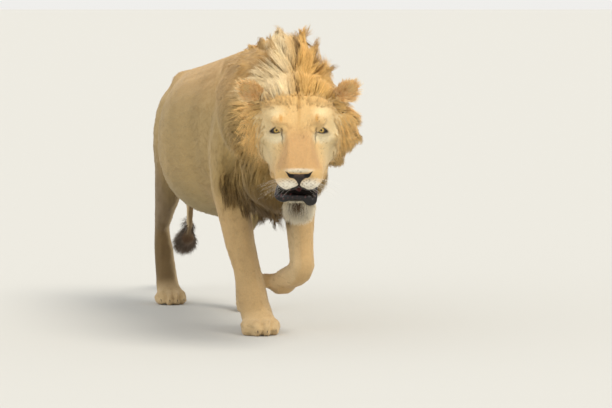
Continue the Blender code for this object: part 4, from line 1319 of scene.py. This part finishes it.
# Under the jaw, between the two ruffs, the mane closes over the throat.
throat_sites = np.flatnonzero(grown_from("jaw") & (beside[:, 1] > 0.235))
locks("hair_throat", throat_sites, 300, 10, length=0.085, width=0.0013, reach_in=0.012, spread=0.010,
      paint=mane_colour, rng=np.random.default_rng(52), lock_steps=3)


# ---------------------------------------------------------------- ears, chin, tail tuft and whiskers
# Long soft hair fans out of each ear, a short beard hangs from the chin, and the tail ends in a dark brush.
# The whiskers are stiff pale bristles in rows on the pads of the upper lip.

def sprays(name, starts, ways, reach, width, sag, colours, rng, steps, upward=(0.0, 0.0, 1.0)):
    """Curved spikes from these places, each bending down by its sag over its length."""
    t = np.linspace(0, 1, steps)[None, :, None]
    bend = np.array([0, 0, -1.0])[None, None] * (t ** 2) * (sag * reach)[:, None, None]
    paths = starts[:, None] + ways[:, None] * t * reach[:, None, None] + bend
    paths = paths + rng.normal(0, 0.02, paths.shape) * reach[:, None, None] * t
    paths[..., 2] = np.maximum(paths[..., 2], 0.002)
    along = unit(np.gradient(paths, axis=1))
    over = np.broadcast_to(np.array(upward, float), paths.shape)
    across = unit(np.cross(along, over + rng.normal(0, 0.2, (len(paths), 1, 3))))
    above = np.cross(across, along)
    spikes(name, paths, across, above, np.full(len(starts), width), 0.6, colours,
           map_place(nearest(skin_tree, starts)[2]))


def varied(shade, count, least, most, rng):
    """This colour for each of so many hairs, darker or lighter by chance."""
    return shade * rng.uniform(least, most, (count, 1))


EAR_HAIRS, CHIN_HAIRS, TUFT_HAIRS = 1500, 2600, 2400
for side, out in SIDES.items():
    rng = np.random.default_rng(80 + len(side))
    low, high = (np.array(c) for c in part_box("ear_" + side))
    outward = np.array(FACE.to_3x3() @ Vector((out, 0, 0)))
    ear_foot = (low + high) / 2 - outward * 0.030 - np.array([0, 0, 0.030])
    mine = np.flatnonzero(is_part("ear_" + side) & (normals @ AHEAD > -0.1))
    start = places[rng.choice(mine, EAR_HAIRS)]
    spread_out = unit(start - ear_foot)
    way = unit(spread_out + AHEAD * 0.35 + rng.normal(0, 0.12, start.shape))
    reach = rng.uniform(0.012, 0.030, EAR_HAIRS) * (1 - 0.35 * (spread_out[:, 2] > 0.75))
    base = varied(linear("#f0be72"), EAR_HAIRS, 0.85, 1.12, rng)
    tips = varied(linear("#fbe4b4"), EAR_HAIRS, 0.9, 1.08, rng)
    sprays("hair_ear_" + side, start, way, reach, width=0.0011, sag=0.12, colours=(base, tips),
           rng=rng, steps=4, upward=AHEAD + np.array([0, 0, 0.6]))

# The beard is pale, with a darker streak down its middle.
rng = np.random.default_rng(85)
on_chin = np.flatnonzero((np.abs(face_places[:, 0]) < 0.050) & (face_places[:, 2] < -0.084)
                         & is_part("jaw") & (face_places[:, 1] < 0.17) & (normals[:, 2] < 0.35))
pick = rng.choice(on_chin, CHIN_HAIRS)
start = places[pick]
way = unit(normals[pick] * 0.35 + np.array([0.04, 0.1, -1.0]) + rng.normal(0, 0.14, start.shape))
reach = rng.uniform(0.014, 0.030, CHIN_HAIRS)
beard = seen_from(FACE, start)
dark = np.abs(beard[:, 0] + 0.006) < rng.uniform(0.000, 0.036, CHIN_HAIRS)
dark = (dark & (beard[:, 2] > rng.uniform(-0.122, -0.095, CHIN_HAIRS)))[:, None]
base = varied(np.where(dark, linear("#3b2c1e"), linear("#c9bb9b")), CHIN_HAIRS, 0.85, 1.1, rng)
tips = varied(np.where(dark, linear("#6b543a"), linear("#e8dfca")), CHIN_HAIRS, 0.9, 1.05, rng)
sprays("hair_chin", start, way, reach, width=0.0012, sag=0.1, colours=(base, tips),
       rng=rng, steps=4, upward=(0, 1.0, 0.1))

# The brush of the tail runs on along the tuft's own axis.
TUFT_AXIS = unit(np.array([0.10, 1.0, -0.22]))
rng = np.random.default_rng(86)
brush = np.flatnonzero(is_part("tail_tuft") | (is_part("tail_end") & (places[:, 1] > 0.84)))
pick = rng.choice(brush, TUFT_HAIRS)
start = places[pick]
way = unit(TUFT_AXIS + normals[pick] * 0.28 + rng.normal(0, 0.07, start.shape))
room = np.clip(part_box("tail_tuft")[1].y + 0.012 - start[:, 1], 0.012, 0.075)
reach = room * rng.uniform(0.7, 1.0, TUFT_HAIRS)
base = varied(linear("#4a3420"), TUFT_HAIRS, 0.8, 1.2, rng)
sprays("hair_tail_tuft", start, way, reach, width=0.0017, sag=0.10, colours=(base, base * 0.75),
       rng=rng, steps=5)

# Four rows of whiskers on each side, longer towards the back.
rng = np.random.default_rng(87)
WHISKER_ROWS, WHISKERS_IN_ROW = 4, 6
whisker_roots, whisker_ways, whisker_reach = [], [], []
for out in (-1, 1):
    for row in range(WHISKER_ROWS):
        for place in range(WHISKERS_IN_ROW):
            root = np.array([(out * (0.020 + 0.0065 * place), -0.10, -0.012 - 0.0068 * row + 0.0015 * place)])
            whisker_roots.append(cast(put_back(FACE, root), -AHEAD, skin_tree,
                                      put_back(FACE, root + np.array([0, 0.16, 0])))[0])
            whisker_ways.append((out * (0.75 + 0.12 * place), 0.20 - 0.06 * row + 0.1 * place,
                                 -0.10 - 0.13 * row))
            whisker_reach.append(0.045 + 0.011 * place)
starts = np.array(whisker_roots)
ways = unit(np.array(whisker_ways) + rng.normal(0, 0.07, (len(starts), 3))) @ FACE_WAYS.T
reach = np.array(whisker_reach) * rng.uniform(0.8, 1.15, len(starts))
pale = plain("#f4f0e6", len(starts))
sprays("whiskers", starts, ways, reach, width=0.0007, sag=0.22, colours=(pale, pale),
       rng=rng, steps=7)


# ---------------------------------------------------------------- claws
# Short curved hooks of dark horn, one to each toe. They are drawn almost wholly into the toes,
# so only the tips show.

# Horn: hard and dense, worn smooth, with spots of lighter brown a few millimetres across.
horn, horn_tree, horn_shader = surface("claw_horn", "#3a2e24", 0.35, Coat_Weight=0.3)
HORN_SPOT = 0.003
horn_where = node(horn_tree, "ShaderNodeTexCoord")
horn_noise = node(horn_tree, "ShaderNodeTexNoise", {"Scale": 1 / HORN_SPOT},
                  {"Vector": horn_where.outputs["Object"]})
horn_ramp = node(horn_tree, "ShaderNodeMix", links={"Factor": horn_noise.outputs["Fac"]}, data_type="RGBA")
horn_ramp.inputs["A"].default_value = opaque("#2b211a")
horn_ramp.inputs["B"].default_value = opaque("#6a5846")
horn_tree.links.new(horn_ramp.outputs["Result"], horn_shader.inputs["Base Color"])
CLAW_RINGS, CLAW_SIDES = 6, 8
claw_corners, claw_faces = [], []
for foot, turn, wide, off_middle in FEET:
    low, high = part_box(foot)
    ahead = np.array([math.sin(math.radians(turn)), -math.cos(math.radians(turn)), 0])
    side_way = np.array([-ahead[1], ahead[0], 0])
    toes_at = np.array([(low.x + high.x) / 2 + off_middle, low.y + 0.02, 0.020])
    for toe in (-1.5, -0.5, 0.5, 1.5):
        aim = toes_at + side_way * toe * wide
        hit = cast([aim + ahead * 0.12], -ahead, skin_tree, [aim])[0]
        claw_faces.append(sheet_faces(CLAW_RINGS, CLAW_SIDES, True) + len(claw_corners))
        for t in np.arange(CLAW_RINGS) / (CLAW_RINGS - 1):
            centre = hit + ahead * (-0.006 + 0.014 * t) + np.array([0, 0, -0.009 * t ** 1.6])
            size = 0.0028 * (1 - t) ** 0.7 + 0.0002
            for k in range(CLAW_SIDES):
                a = 2 * math.pi * k / CLAW_SIDES
                claw_corners.append(centre + side_way * math.cos(a) * size * 0.7
                                    + np.array([0, 0, 1.0]) * math.sin(a) * size)
claw_corners = np.array(claw_corners)
claw_corners[:, 2] = np.maximum(claw_corners[:, 2], 0.0005)
shaped("claws", claw_corners, np.concatenate(claw_faces), horn)
